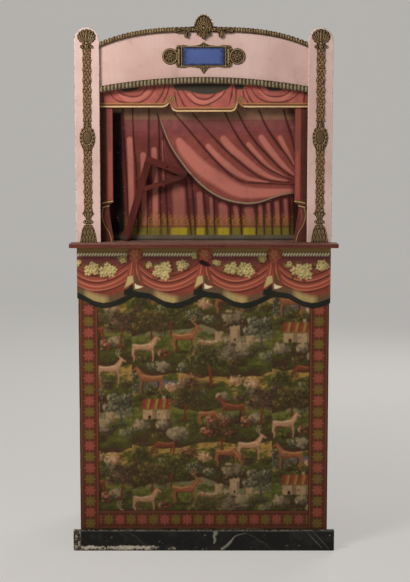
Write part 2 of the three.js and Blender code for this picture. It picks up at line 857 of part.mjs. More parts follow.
// Prop: post, beam and brace in one plane, turning on a screw in a block on the playboard
function makeProp() {
  const pivotZ = stageFloor + propFootGap + postWidth / 2;
  const frontFace = frontY + propPlane;
  const rearFace = frontFace + propThickness;
  const half = postWidth / 2;
  const slope = Math.tan(beamDroop);
  const underBeam = (x) => postLength - beamWidth - (x + half) * slope;
  const leaning = new THREE.Group();
  leaning.position.set(propX, 0, pivotZ);
  leaning.rotation.y = propLean;
  stand.add(leaning);
  const hole = circle([0, 0], pivotRadius + runningFit, pivotSides);
  const post = outline(
    [
      ...arc([0, 0], [half, half], Math.PI, 2 * Math.PI, pivotSides),
      [half, underBeam(half) - fit],
      [-half, underBeam(-half) - fit],
    ],
    [hole],
  );
  upright("prop_post", post, propThickness, rearFace, darkWood, leaning);

  const beamMiddle = beamReach / 2;
  const beamHole = circle(
    [beamMiddle, underBeam(beamMiddle) + beamWidth / 2],
    beamHoleRadius,
    pivotSides,
  );
  const beam = outline(
    [
      [-half, underBeam(-half)],
      [beamReach, underBeam(beamReach)],
      [beamReach, underBeam(beamReach) + beamWidth],
      [-half, postLength],
    ],
    [beamHole],
  );
  upright("prop_beam", beam, propThickness, rearFace, darkWood, leaning);

  const rise = underBeam(beamReach) - fit - braceFoot;
  const run = beamReach - half - fit;
  const across = (braceWidth * Math.hypot(rise, run)) / run;
  const shorter = across / (rise / run + slope);
  const brace = outline([
    [half + fit, braceFoot],
    [beamReach, underBeam(beamReach) - fit],
    [beamReach - shorter, underBeam(beamReach - shorter) - fit],
    [half + fit, braceFoot + across],
  ]);
  upright("prop_brace", brace, propThickness, rearFace, darkWood, leaning);

  const blockHalf = footBlockWidth / 2;
  const floor = stageFloor;
  const blockShape = outline(
    [
      [propX - blockHalf, floor],
      [propX + blockHalf, floor],
      [propX + blockHalf, floor + footBlockHeight],
      [propX - blockHalf, floor + footBlockHeight],
    ],
    [circle([propX, pivotZ], pivotRadius + fit, pivotSides)],
  );
  const blockRear = rearFace + fit + footBlockDepth;
  upright("prop_foot_block", blockShape, footBlockDepth, blockRear, darkWood);

  const headBack = frontFace - runningFit;
  const tip = rearFace + fit + pivotBite;
  const profile = [
    [0, headBack - pivotHeadHeight],
    [pivotHeadRadius, headBack - pivotHeadHeight],
    [pivotHeadRadius, headBack],
    [pivotRadius, headBack],
    [pivotRadius, tip],
    [0, tip],
  ].map(([x, y]) => new THREE.Vector2(x, y));
  const screw = add("prop_pivot_screw", new THREE.LatheGeometry(profile, pivotSides), brass);
  screw.position.set(propX, 0, pivotZ);
}

makePlinth();
makeBox();
makeWings();
makeHinges();
makePlayboard();
makeBorderStrip();
makePilasters();
makeFronton();
makeCrest();
makeCartouche();
makeDrapery();
makeCurtain();
makeProp();

export default stand;
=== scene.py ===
# %% [markdown]
# # A puppet theatre stand
# The stand is a papered wooden front on a marbled plinth, with a pink stage arch above it. The
# imported model gives every board its place, so this lesson never moves a board: it dresses each
# one in a finish, or puts a finer piece where the plain one was. Loading comes first. A dressed
# piece must not reach further than it.

# %% Load the imported model
import json
import math

import bmesh
import bpy
import numpy as np
from mathutils import Matrix, Vector


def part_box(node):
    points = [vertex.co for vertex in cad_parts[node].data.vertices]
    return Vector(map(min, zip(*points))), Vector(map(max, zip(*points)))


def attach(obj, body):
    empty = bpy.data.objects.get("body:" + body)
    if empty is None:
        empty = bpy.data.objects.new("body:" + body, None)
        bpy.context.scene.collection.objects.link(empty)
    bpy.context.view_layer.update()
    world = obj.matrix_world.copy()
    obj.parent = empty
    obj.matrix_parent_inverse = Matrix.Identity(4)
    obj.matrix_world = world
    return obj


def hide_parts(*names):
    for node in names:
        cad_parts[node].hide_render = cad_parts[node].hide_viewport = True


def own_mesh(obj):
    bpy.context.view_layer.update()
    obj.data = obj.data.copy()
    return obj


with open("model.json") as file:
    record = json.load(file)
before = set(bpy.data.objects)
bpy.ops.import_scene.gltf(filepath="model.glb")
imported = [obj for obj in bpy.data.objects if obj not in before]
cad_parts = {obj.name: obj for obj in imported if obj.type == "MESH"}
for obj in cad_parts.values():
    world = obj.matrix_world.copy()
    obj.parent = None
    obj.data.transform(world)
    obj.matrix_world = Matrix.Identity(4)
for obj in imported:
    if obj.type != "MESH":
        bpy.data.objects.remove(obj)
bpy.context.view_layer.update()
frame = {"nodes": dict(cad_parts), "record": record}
nodes = frame["nodes"]
bodies = frame["record"]["behaviour"]["bodies"]
body_of = {node: body for body, members in bodies.items() for node in members}
scene = bpy.context.scene
MM = 0.001  # the lesson thinks in millimetres, Blender in metres


def box_mm(node):
    """The lower and the upper corner of a node, in millimetres."""
    return [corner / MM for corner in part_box(node)]


SIDES = (("left", -1), ("right", 1))

# %% [markdown]
# ## Camera
# The stand is seen from the front, from a little under head height and tipped slightly down,
# so that the top of the playboard just shows. A long lens keeps the two pilasters upright, as
# in a picture taken from some metres away.

# %% The camera
CAMERA_PLACE = (0.004, -4.72, 1.413)
CAMERA_TIP = 6.7  # degrees downwards
CAMERA_LENS = 84.37  # for a 36 mm film side along the height

camera_data = bpy.data.cameras.new("front_camera")
camera_data.lens = CAMERA_LENS
camera_data.sensor_width = 36
camera = bpy.data.objects.new("front_camera", camera_data)
camera.location = CAMERA_PLACE
camera.rotation_euler = (math.radians(90 - CAMERA_TIP), 0, 0)
scene.collection.objects.link(camera)
scene.camera = camera
print("camera at", CAMERA_PLACE)

# %% [markdown]
# ## Studio
# A pale sheet runs along the floor and curves up behind, so no line shows where they meet. One
# large lamp stands high at the left, a weak one fills from the right, and a third lies behind
# for the other views. Part of the sheet's pale colour is given only to the rays that the
# viewer sees, or sees in a reflection.


# %% Colours and lamps
def rgb(red, green, blue):
    """A colour as paint charts give it, 0 to 255, turned into the light that a shader wants."""
    share = np.array([red, green, blue], float) / 255
    return np.where(share <= 0.04045, share / 12.92, ((share + 0.055) / 1.055) ** 2.4)


def lamp(name, place, target, size, watts, tint=(255, 255, 255)):
    data = bpy.data.lights.new(name, "AREA")
    data.size, data.energy = size, watts
    data.color = rgb(*tint)
    light = bpy.data.objects.new(name, data)
    light.location = place
    light.rotation_euler = (Vector(target) - Vector(place)).to_track_quat("-Z", "Y").to_euler()
    scene.collection.objects.link(light)
    return light


MIDDLE = (0, 0, 1.0)
lamp("key_lamp", (-1.58, -1.94, 2.55), (0, 0, 1.2), 0.9, 54, (255, 247, 240))
lamp("fill_lamp", (2.8, -3.5, 1.6), MIDDLE, 2.4, 12, (240, 244, 255))
lamp("rear_lamp", (1.6, 3.4, 2.9), MIDDLE, 2.2, 60)

# %% The sheet behind and below
SHEET_TONE = rgb(222, 219, 214)


def sweep_points():
    """Floor, curve and wall from front to back, as (y, z) in metres."""
    floor = [(-9.0, 0.0), (7.0, 0.0)]
    curve = [(7.0 + 2.2 * math.sin(a), 2.2 - 2.2 * math.cos(a)) for a in np.linspace(0.1, 1.5, 12)]
    return floor + curve + [(9.2, 9.0)]


profile = sweep_points()
sweep_mesh = bpy.data.meshes.new("studio_sheet")
sweep_mesh.from_pydata(
    [(x, y, z) for y, z in profile for x in (-9, 9)],
    [],
    [(2 * i, 2 * i + 1, 2 * i + 3, 2 * i + 2) for i in range(len(profile) - 1)],
)
sweep_mesh.shade_smooth()
sweep = bpy.data.objects.new("studio_sheet", sweep_mesh)
scene.collection.objects.link(sweep)
print("studio sheet with", len(profile), "lines")

# %% [markdown]
# ## A short way to write finishes
# Every finish here is a few noises that choose between colours, so a small class keeps the
# wiring short: it makes a node, and joins a socket where it is given one. Patterns read Object
# coordinates, which are the stand's own metres because every piece's object sits at the origin.


# %% Wiring of nodes
def feed(tree, socket, value):
    """Joins a socket to another, or sets it."""
    if isinstance(value, bpy.types.NodeSocket):
        tree.links.new(value, socket)
    elif socket.type == "RGBA":
        socket.default_value = (*value, 1)
    else:
        socket.default_value = value


def wired(tree, kind, feeds=None, **settings):
    """A new node of a tree, with its settings and with what feeds its sockets."""
    made = tree.nodes.new(kind)
    for key, value in settings.items():
        setattr(made, key, value)
    for key, value in (feeds or {}).items():
        feed(tree, made.inputs[key], value)
    return made


# %% The finish class
class Finish:
    """A material, and the nodes that choose its colours."""

    def __init__(self, name, rough=0.7, metal=0.0):
        self.material = bpy.data.materials.new(name)
        self.material.use_nodes = True
        self.tree = self.material.node_tree
        self.shader = self.tree.nodes["Principled BSDF"]
        self.shader.inputs["Roughness"].default_value = rough
        self.shader.inputs["Metallic"].default_value = metal
        self.shader.inputs["Specular IOR Level"].default_value = 0.22
        self.place = self.node("TexCoord").outputs["Object"]

    def node(self, kind, feeds=None, **settings):
        return wired(self.tree, "ShaderNode" + kind, feeds, **settings)

    def noise(self, scale, detail=4, stretch=None, bend=0.0):
        """A noise of so many lumps to the metre; stretch squeezes it along each axis."""
        place = self.place
        if stretch:
            place = self.node("Mapping", {"Vector": place, "Scale": stretch}).outputs[0]
        feeds = {"Vector": place, "Scale": scale, "Detail": detail, "Distortion": bend}
        return self.node("TexNoise", feeds).outputs["Fac"]

    def between(self, value, low, high, start=0.0, end=1.0):
        """How far a value has come from low to high, as a share from start to end."""
        feeds = {0: value, 1: low, 2: high, 3: start, 4: end}
        return self.node("MapRange", feeds).outputs[0]

    def maths(self, how, one, other=0.0):
        return self.node("Math", {0: one, 1: other}, operation=how).outputs[0]

    def axis(self, name):
        split = self.node("SeparateXYZ", {0: self.place})
        return split.outputs[name]

    def mix(self, share, one, other, how="MIX"):
        made = self.node("Mix", {0: share, 6: one, 7: other}, data_type="RGBA", blend_type=how)
        return made.outputs[2]

    def over(self, colour, ink, value, low, high, share=1.0):
        """Lays an ink over a colour, more of it as a value goes from low to high."""
        return self.mix(self.between(value, low, high, 0, share), colour, ink)

    def attribute(self, name, output="Color"):
        return self.node("Attribute", attribute_name=name).outputs[output]

    def done(self, colour, bump=None, depth=0.2, rough=None):
        """Joins the colour and, where given, the bump (its depth in mm) and the roughness."""
        feed(self.tree, self.shader.inputs["Base Color"], colour)
        if bump is not None:
            feeds = {"Height": bump, "Distance": depth * MM, "Strength": 1.0}
            made = self.node("Bump", feeds)
            feed(self.tree, self.shader.inputs["Normal"], made.outputs[0])
        if rough is not None:
            feed(self.tree, self.shader.inputs["Roughness"], rough)
        return self.material


# %% Finish of the studio sheet, and the world
white = Finish("studio_sheet", rough=0.9)
white.done(SHEET_TONE)
rays = white.node("LightPath")
seen = white.maths("MAXIMUM", rays.outputs["Is Camera Ray"], rays.outputs["Is Glossy Ray"])
seen = white.maths("MAXIMUM", seen, rays.outputs["Is Transmission Ray"])
seen = white.maths("MULTIPLY", seen, 0.55)
glow = white.node("Emission", {"Color": SHEET_TONE, "Strength": 0.95})
joined = white.node("MixShader", {0: seen, 1: white.shader.outputs[0]})
feed(white.tree, joined.inputs[2], glow.outputs[0])
feed(white.tree, white.tree.nodes["Material Output"].inputs["Surface"], joined.outputs[0])
sweep_mesh.materials.append(white.material)

world = bpy.data.worlds.new("soft_room")
world.use_nodes = True
room = world.node_tree.nodes["Background"].inputs
room["Color"].default_value = (*rgb(226, 228, 232), 1)
room["Strength"].default_value = 0.25
scene.world = world
scene.view_settings.view_transform = "Standard"
print("studio finished")

# %% [markdown]
# ## Paint and bare wood
# The upper part is painted with distemper, a chalky size paint that goes blotchy with damp and
# rubs off at the edges. Under it is softwood, whose grain follows the length of each board. So
# the paint is three noises of different size over two pinks, and it is rubbed pale, with
# brown specks, where an attribute called `edge` says that the rim of a board is close.


# %% Wood
def grain_stretch(axis, along=0.06):
    """Stretches a noise so that it runs along one axis of the board."""
    return tuple(along if name == axis else 1.0 for name in "XYZ")


def wood(name, axis, pale, dark, rough=0.75):
    finish = Finish(name, rough)
    wide = finish.noise(38, 6, grain_stretch(axis), 0.6)
    fine = finish.noise(420, 3, grain_stretch(axis, along=0.03))
    colour = finish.over(pale, dark, wide, 0.32, 0.68)
    colour = finish.over(colour, dark, fine, 0.45, 0.75, 0.55)
    colour = finish.over(colour, dark * 0.6, finish.noise(5, 5), 0.5, 0.8, 0.4)
    colour = finish.over(colour, dark * 0.5, finish.attribute("edge", "Fac"), 0.3, 1, 0.35)
    return finish.done(colour, fine, 0.25)


BARE = (rgb(176, 140, 98), rgb(128, 94, 60))
bare_wood = {axis: wood(f"bare_wood_{axis}", axis, *BARE) for axis in "XYZ"}
DARK = (rgb(118, 46, 36), rgb(74, 28, 22))
dark_wood = {axis: wood(f"dark_wood_{axis}", axis, *DARK, rough=0.6) for axis in "XZ"}


# %% Distemper
def distemper(name, pale, deep, under, rim, stains=0.5):
    finish = Finish(name, rough=0.85)
    colour = finish.over(pale, deep, finish.noise(6, 5), 0.35, 0.68)
    brush = finish.noise(150, 3, grain_stretch("Z", along=0.12))
    colour = finish.over(colour, deep * 0.86, brush, 0.4, 0.8, 0.2)
    colour = finish.over(colour, under, finish.noise(240, 2), 0.7, 0.76, 0.55)
    colour = finish.over(colour, deep * 0.6, finish.noise(13, 8, bend=0.8), 0.58, 0.78, stains)
    ragged = finish.maths("MULTIPLY", finish.attribute("edge", "Fac"), finish.noise(170, 5))
    colour = finish.over(colour, rim, ragged, 0.26, 0.5, 0.7)
    colour = finish.over(colour, under, ragged, 0.52, 0.62, 0.7)
    return finish.done(colour, brush, 0.12)


PINK, PINK_DEEP, PINK_UNDER = rgb(234, 203, 194), rgb(215, 179, 168), rgb(132, 94, 76)
pink_paint = distemper("pink_distemper", PINK, PINK_DEEP, PINK_UNDER, rgb(238, 222, 206))
maroon_paint = distemper("maroon_paint", rgb(114, 60, 44), rgb(88, 43, 31), rgb(58, 30, 24),
                         rgb(126, 78, 70), 0.7)
worn_maroon = distemper("worn_maroon", rgb(150, 116, 102), rgb(116, 74, 62), rgb(90, 50, 40),
                        rgb(160, 130, 122), 0.8)
print("wood and paint ready")

# %% [markdown]
# ## Boards with worn edges
# A sawn board is never quite sharp: hands and damp round its edges. Each board here is a copy
# of its node, welded, with every sharp edge rounded, and with a narrow ring set in along each
# large face. The ring carries the attribute `edge`: 1 at the rim and 0 inside it, so that the
# finish knows where wear belongs.

# %% Boards
EDGE_RING = 5 * MM
SHARP = math.radians(25)


def new_piece(name, mesh, body, replaced=()):
    """Puts a finished mesh in the scene, on its body."""
    piece = bpy.data.objects.new(name, mesh)
    scene.collection.objects.link(piece)
    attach(piece, body)
    if replaced:
        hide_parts(*replaced)
    return piece


def welded(node, whole=True):
    """A node's solid as a welded mesh; its flat faces are made whole where they have no hole."""
    bm = bmesh.new()
    bm.from_mesh(nodes[node].data)
    bmesh.ops.remove_doubles(bm, verts=bm.verts, dist=0.01 * MM)
    if whole:
        bmesh.ops.dissolve_limit(bm, angle_limit=0.01, verts=bm.verts, edges=bm.edges)
    return bm


def board(node, materials, rounding=1.2, choose=None, pierced=False):
    """A worn copy of a board's node. choose(centre, normal) picks a material for each face."""
    bm = welded(node, whole=not pierced)
    sharp = [e for e in bm.edges if e.calc_face_angle(0) > SHARP]
    bmesh.ops.bevel(bm, geom=sharp, offset=rounding * MM, segments=2, profile=0.5,
                    affect="EDGES", clamp_overlap=True)
    edge = bm.verts.layers.float.new("edge")
    for vert in bm.verts:
        vert[edge] = 1
    large = [f for f in bm.faces if f.calc_area() / f.calc_perimeter() > 0.8 * EDGE_RING]
    if pierced:
        large = []
    bmesh.ops.inset_individual(bm, faces=large, thickness=EDGE_RING)
    for face in large:
        for vert in face.verts:
            vert[edge] = 0
    mesh = bpy.data.meshes.new(node)
    for material in materials:
        mesh.materials.append(material)
    for face in bm.faces:
        face.smooth = face.calc_area() < 1e-4
        if choose:
            face.material_index = choose(face.calc_center_median() / MM, face.normal)
    bm.to_mesh(mesh)
    bm.free()
    return new_piece(node + "_board", mesh, body_of[node], [node])


# %% Dressing the boards
PILASTER_FRONT, FRONTON_FRONT, OUTSIDE = -208.5, -196, 402  # faces beyond these are painted


def outer_face(limit):
    """Chooses 0 for faces further out than a width in mm, and 1 for the rest."""
    return lambda centre, normal: 0 if abs(centre.x) > limit else 1


def front_face(limit):
    return lambda centre, normal: 0 if centre.y < limit else 1


for side, _ in SIDES:
    finishes = [pink_paint, bare_wood["Z"]]
    board(f"{side}_pilaster", finishes, 1.6, front_face(PILASTER_FRONT))
    for kind in ("side", "wing"):
        board(f"{side}_{kind}_board", finishes, 1.4, outer_face(OUTSIDE))
    for level in ("bottom", "middle", "top"):
        board(f"{side}_wing_{level}_ledge", [bare_wood["Y"]])
board("fronton", [pink_paint, bare_wood["X"]], 1.2, front_face(FRONTON_FRONT))
board("playboard", [maroon_paint, worn_maroon], 2.4,
      lambda centre, normal: int(normal.z > 0.9))
for node in ("panel_bottom_batten", "panel_top_batten", "lower_tie_rail", "top_rail",
             "curtain_batten", "lower_panel"):
    board(node, [bare_wood["X"]])
for node, axis in (("prop_post", "Z"), ("prop_beam", "X"), ("prop_brace", "X"),
                   ("prop_foot_block", "Z")):
    board(node, [dark_wood[axis]], pierced=node in ("prop_beam", "prop_post"))
print("boards done")

# %% [markdown]
# ## Printing and carving by hand
# The front is papered with printed sheets, the draperies are painted boards, and the ornaments
# are embossed card. All three are one job: something is laid on a flat field, spot by spot and
# line by line. `Marks` is a net of places a millimetre or two apart, on which every spot, line
# or outline has a `level`: 1 in the middle of the mark, 0 at its edge. A `Field` adds an ink
# colour for painted work and a height for embossed work.


# %% Lines, distances and inks
CARD = 1.5  # thickness of a plain card before it is embossed, in millimetres
CURVE_STEPS = 6  # places on a smooth line from one chosen point to the next
TINY = 1e-9  # keeps a division away from zero


def clamp(values):
    return np.clip(values, 0, 1)


def smooth_line(points):
    """A smooth line through a few chosen points."""
    p = np.array(points, float)
    if len(p) < 3:
        return p
    p = np.vstack([2 * p[0] - p[1], p, 2 * p[-1] - p[-2]])
    t = np.linspace(0, 1, CURVE_STEPS, endpoint=False)[:, None]
    made = []
    for a, b, c, d in zip(p, p[1:], p[2:], p[3:]):
        made.append(0.5 * (2 * b + (c - a) * t + (2 * a - 5 * b + 4 * c - d) * t**2
                           + (3 * b - a - 3 * c + d) * t**3))
    return np.vstack([*made, p[-2]])


def around(x, z, angle, wide, tall):
    """A place on an ellipse round a point, at an angle in radians."""
    return x + wide * math.cos(angle), z + tall * math.sin(angle)


def to_stretch(x, z, start, end):
    """How far along a straight stretch a place lies, as a share, and how far away from it."""
    (ax, az), (bx, bz) = start, end
    length = (bx - ax) ** 2 + (bz - az) ** 2 + TINY
    t = clamp(((x - ax) * (bx - ax) + (z - az) * (bz - az)) / length)
    return t, np.hypot(x - ax - t * (bx - ax), z - az - t * (bz - az))


def within(rim, x, z):
    """Whether places lie inside a rim, which is given as its straight stretches."""
    inside = np.zeros(np.broadcast(x, z).shape, bool)
    for (ax, az), (bx, bz) in rim:
        inside ^= ((az > z) != (bz > z)) & (x < ax + (z - az) * (bx - ax) / ((bz - az) or TINY))
    return inside


def tinted(ink, light):
    """An ink made lighter or darker from place to place."""
    return ink * light[..., None]


def blended(one, other, share):
    """Inks that go from one to another, from place to place."""
    return one + (other - one) * share[..., None]


# %% Marks on a field
class Marks:
    """A flat net of places, in millimetres, and the marks that can be made on it. A mark is a
    part of the net, its level there, and its size."""

    def __init__(self, x, z, step):
        self.step = step
        self.x = np.arange(x[0] - step, x[1] + 2 * step, step)
        self.z = np.arange(z[0] - step, z[1] + 2 * step, step)

    def near(self, x0, x1, z0, z1):
        """The part of the net inside a box, with its coordinates."""
        i = np.clip([(x0 - self.x[0]) // self.step, (x1 - self.x[0]) // self.step + 2],
                    0, len(self.x)).astype(int)
        j = np.clip([(z0 - self.z[0]) // self.step, (z1 - self.z[0]) // self.step + 2],
                    0, len(self.z)).astype(int)
        part = (slice(*j), slice(*i))
        return part, self.x[part[1]][None, :], self.z[part[0]][:, None]

    def whole(self):
        """The whole net, in the same way."""
        return self.near(self.x[0], self.x[-1], self.z[0], self.z[-1])

    def spot(self, x, z, wide, tall=None, turn=0.0):
        """An ellipse round a point."""
        tall = tall or wide
        reach = max(wide, tall)
        part, gx, gz = self.near(x - reach, x + reach, z - reach, z + reach)
        c, s = math.cos(turn), math.sin(turn)
        along, across = (gx - x) * c + (gz - z) * s, (gz - z) * c - (gx - x) * s
        return part, 1 - np.sqrt((along / wide) ** 2 + (across / tall) ** 2), min(wide, tall)

    def line(self, points, *widths, smooth=True):
        """A line through points; its half widths follow one another along it."""
        p = smooth_line(points) if smooth else np.array(points, float)
        share = np.linspace(0, 1, len(widths)) if len(widths) > 1 else [0]
        wide = np.interp(np.linspace(0, 1, len(p)), share, widths)
        reach = wide.max()
        part, gx, gz = self.near(*(f(p[:, k]) + r for k in (0, 1)
                                   for f, r in ((np.min, -reach), (np.max, reach))))
        level = np.full((gz.size, gx.size), -1.0)
        for a, b, wa, wb in zip(p, p[1:], wide, wide[1:]):
            i, j = (slice(*np.searchsorted(g, [min(a[k], b[k]) - reach, max(a[k], b[k]) + reach]))
                    for k, g in enumerate((gx[0], gz[:, 0])))
            t, away = to_stretch(gx[:, i], gz[j], a, b)
            here = level[j, i]
            np.maximum(here, 1 - away / np.maximum(wa + (wb - wa) * t, 0.05), out=here)
        return part, level, max(np.mean(wide), 0.3)

    def outline(self, points, smooth=False):
        """The inside of a closed outline; its level is counted in millimetres."""
        p = smooth_line([*points, points[0]]) if smooth else np.array(points, float)
        part, gx, gz = self.near(p[:, 0].min(), p[:, 0].max(), p[:, 1].min(), p[:, 1].max())
        rim = list(zip(p, np.roll(p, -1, axis=0)))
        away = np.min([to_stretch(gx, gz, *stretch)[1] for stretch in rim], axis=0)
        return part, np.where(within(rim, gx, gz), away, -away), 1.0


# %% The field
class Field(Marks):
    """A net that is painted or embossed."""

    def __init__(self, x, z, step):
        super().__init__(x, z, step)
        self.height = np.zeros((len(self.z), len(self.x)))
        self.ink = np.zeros((*self.height.shape, 3))

    def cover(self, part, ink, share):
        """Lays an ink over a part, by a share at each place."""
        self.ink[part] = blended(self.ink[part], ink, share)

    def paint(self, mark, ink, strength=1.0, soft=0.25):
        """Lays an ink on a mark; soft is the share of its width over which it fades."""
        part, level, size = mark
        self.cover(part, ink, clamp(level / max(soft, self.step / size)) * strength)

    def stroke(self, points, *widths, ink, strength=1.0, soft=0.25, smooth=True):
        """Paints a line."""
        self.paint(self.line(points, *widths, smooth=smooth), ink, strength, soft)

    def dab(self, x, z, wide, tall=None, turn=0.0, *, ink, strength=1.0, soft=0.25):
        """Paints a spot."""
        self.paint(self.spot(x, z, wide, tall, turn), ink, strength, soft)

    def fill(self, points, ink, strength=1.0, soft=0.25, smooth=False):
        """Paints the inside of an outline."""
        self.paint(self.outline(points, smooth), ink, strength, soft)

    def dim(self, mark, share, soft=0.6):
        """Darkens a mark to a share of its colour, or lightens it above 1."""
        part, level, size = mark
        self.ink[part] *= 1 + (share - 1) * clamp(level / max(soft, self.step / size))[..., None]

    def emboss(self, mark, rise):
        """Raises a mark, rounded, above the plain card."""
        part, level, size = mark
        raised = rise * np.sqrt(clamp(1 - (1 - clamp(level)) ** 2))
        here = self.height[part]
        np.maximum(here, np.where(level > 0, CARD + raised, 0), out=here)

    def press(self, mark, depth):
        """Presses a groove into what is raised."""
        part, level, size = mark
        here = self.height[part]
        lowered = np.maximum(here - depth * clamp(level * 1.6), 0.4)
        self.height[part] = np.where(here > 0, lowered, here)

    def read(self, x, z, values):
        """Values of the field at any places, smoothly between its own."""
        i = np.clip((x - self.x[0]) / self.step, 0, len(self.x) - 1.001)
        j = np.clip((z - self.z[0]) / self.step, 0, len(self.z) - 1.001)
        i0, j0 = i.astype(int), j.astype(int)
        a, b = i - i0, j - j0
        if values.ndim == 3:
            a, b = a[..., None], b[..., None]
        low = values[j0, i0] * (1 - a) + values[j0, i0 + 1] * a
        high = values[j0 + 1, i0] * (1 - a) + values[j0 + 1, i0 + 1] * a
        return low * (1 - b) + high * b


# %% Soft blotches
def clouds(x, z, size, seed):
    """Soft blotches from 0 to 1, about so many millimetres across."""
    table = np.random.default_rng(seed).random((64, 64))
    i, j = np.broadcast_arrays(x / size + 900, z / size + 900)
    i0, j0 = np.floor(i).astype(int), np.floor(j).astype(int)
    a, b = (t * t * (3 - 2 * t) for t in (i - i0, j - j0))
    corner = lambda di, dj: table[(j0 + dj) % 64, (i0 + di) % 64]
    low = corner(0, 0) * (1 - a) + corner(1, 0) * a
    high = corner(0, 1) * (1 - a) + corner(1, 1) * a
    return low * (1 - b) + high * b


print("field ready")

# %% [markdown]
# ## From a painted field to a thin board
# Painted work becomes a closed sheet: a fine net in front that carries the attribute `print`,
# thin sides, and one plain face behind. The net is ruled between a lower and an upper edge, so
# that a scallop or a hook is followed exactly. `ruled` does that for an upright piece, whose
# edges are heights along X, and for one that is shaped at its side, whose edges are places in X
# along the height.


# %% Ruled sheets
def edges_of(node, along=0):
    """Places along a node's face, and how low and how high it reaches at each."""
    points = np.array([v.co for v in nodes[node].data.vertices])[:, [0, 2]] / MM
    places = np.unique(points[:, along].round(1))
    spans = [points[np.abs(points[:, along] - p) < 0.1, 1 - along] for p in places]
    low, high = [s.min() for s in spans], [s.max() for s in spans]
    return places, low, high


def ruled(name, field, places, low, high, rows, y, thick, body, face, back,
          sideways=False, replaced=(), ripple=0.0, outward=None):
    """A thin closed board between two edges, with the field's ink on its front."""
    place, share = np.meshgrid(places, np.linspace(0, 1, rows), indexing="ij")
    low, high = (np.broadcast_to(e, places.shape)[:, None] for e in (low, high))
    other = low + (high - low) * share
    x, z = (other, place) if sideways else (place, other)
    rim = np.sin(np.pi * share) * np.sin(np.pi * (place - places[0]) / np.ptp(places))
    wave = -clouds(x, z, 90, 5) * ripple * clamp(rim * 3)
    front = np.stack([x, y + wave, z], -1).reshape(-1, 3)
    columns = len(places)
    index = np.arange(columns * rows).reshape(columns, rows)
    loop = np.concatenate([index[:, 0], index[-1, 1:], index[-2::-1, -1], index[0, -2:0:-1]])
    behind = front[loop] + (0, thick, 0)
    behind[:, 1] = y + thick
    quads = np.stack([index[:-1, :-1], index[1:, :-1], index[1:, 1:], index[:-1, 1:]], -1)
    quads = quads.reshape(-1, 4).tolist()
    last = len(front) + np.arange(len(loop))
    sides = np.stack([loop, last, np.roll(last, -1), np.roll(loop, -1)], -1).tolist()
    mesh = bpy.data.meshes.new(name)
    mesh.from_pydata(np.vstack([front, behind]) * MM, [], quads + sides + [last[::-1].tolist()])
    ink = field.read(x.ravel(), z.ravel(), field.ink)
    ink = np.vstack([ink, ink[loop]])
    colours = mesh.attributes.new("print", "FLOAT_COLOR", "POINT")
    colours.data.foreach_set("color", np.hstack([ink, np.ones((len(ink), 1))]).ravel())
    mesh.materials.append(face)
    mesh.materials.append(back)
    mesh.polygons[-1].material_index = 1
    turn_outwards(mesh)
    if outward:
        mesh.transform(outward)
    print(name, len(quads), "cells")
    return new_piece(name, mesh, body, replaced)


def turn_outwards(mesh):
    bm = bmesh.new()
    bm.from_mesh(mesh)
    bmesh.ops.recalc_face_normals(bm, faces=bm.faces)
    bm.to_mesh(mesh)
    bm.free()


def net(start, end, step, *also):
    """Places from start to end, about a step apart, that also touch each chosen one."""
    marks = sorted({start, end, *(a for a in also if start < a < end)})
    parts = [np.linspace(a, b, max(2, round((b - a) / step) + 1))[:-1]
             for a, b in zip(marks, marks[1:])]
    return np.concatenate([*parts, [end]])


# %% Finishes of printed and painted surfaces
def printed(name, rough, weave=900, grit=0.25, age=rgb(92, 72, 44), fade=0.3, depth=0.15):
    """Ink from the attribute, broken by the grain of its ground, with brown stains of age."""
    finish = Finish(name, rough)
    ink = finish.attribute("print")
    grain = finish.noise(weave, 3)
    share = finish.between(grain, 0.35, 0.75, 0, grit)
    colour = finish.mix(share, ink, rgb(110, 106, 100), "MULTIPLY")
    colour = finish.over(colour, age, finish.noise(9, 7, bend=0.5), 0.45, 0.8, fade)
    colour = finish.over(colour, age * 0.5, finish.noise(330, 2), 0.68, 0.74, 0.4)
    return finish.done(colour, grain, depth)


paper_print = printed("verdure_paper", 0.8)
card_print = printed("border_card", 0.75, 700, 0.2, fade=0.2)
board_paint = printed("drapery_boards", 0.8, 260, 0.3, rgb(110, 74, 54), 0.25, 0.12)
canvas_paint = printed("curtain_canvas", 0.9, 1200, 0.35, rgb(96, 58, 46), 0.3, 0.3)
plain_paper = wood("backing", "X", rgb(150, 124, 88), rgb(112, 88, 58))
canvas_back = distemper("canvas_back", rgb(178, 160, 126), rgb(150, 130, 100), rgb(118, 96, 70),
                        rgb(178, 160, 126), 0.4)
print("printed finishes ready")

# %% [markdown]
# ## The verdure paper
# The front is covered with a wallpaper in the manner of old verdure tapestries: grassy banks
# one above another, with trees, beasts and small ruins standing on them. This one is a pattern
# of its own with deer, sheep, ruins and cottages. It is printed in one repeat, 470 mm wide and
# 520 mm high, and each hung length is shifted by half a repeat, which is why a seam shows. The
# things are painted from the top of the repeat down, so that a nearer bank covers a farther one.

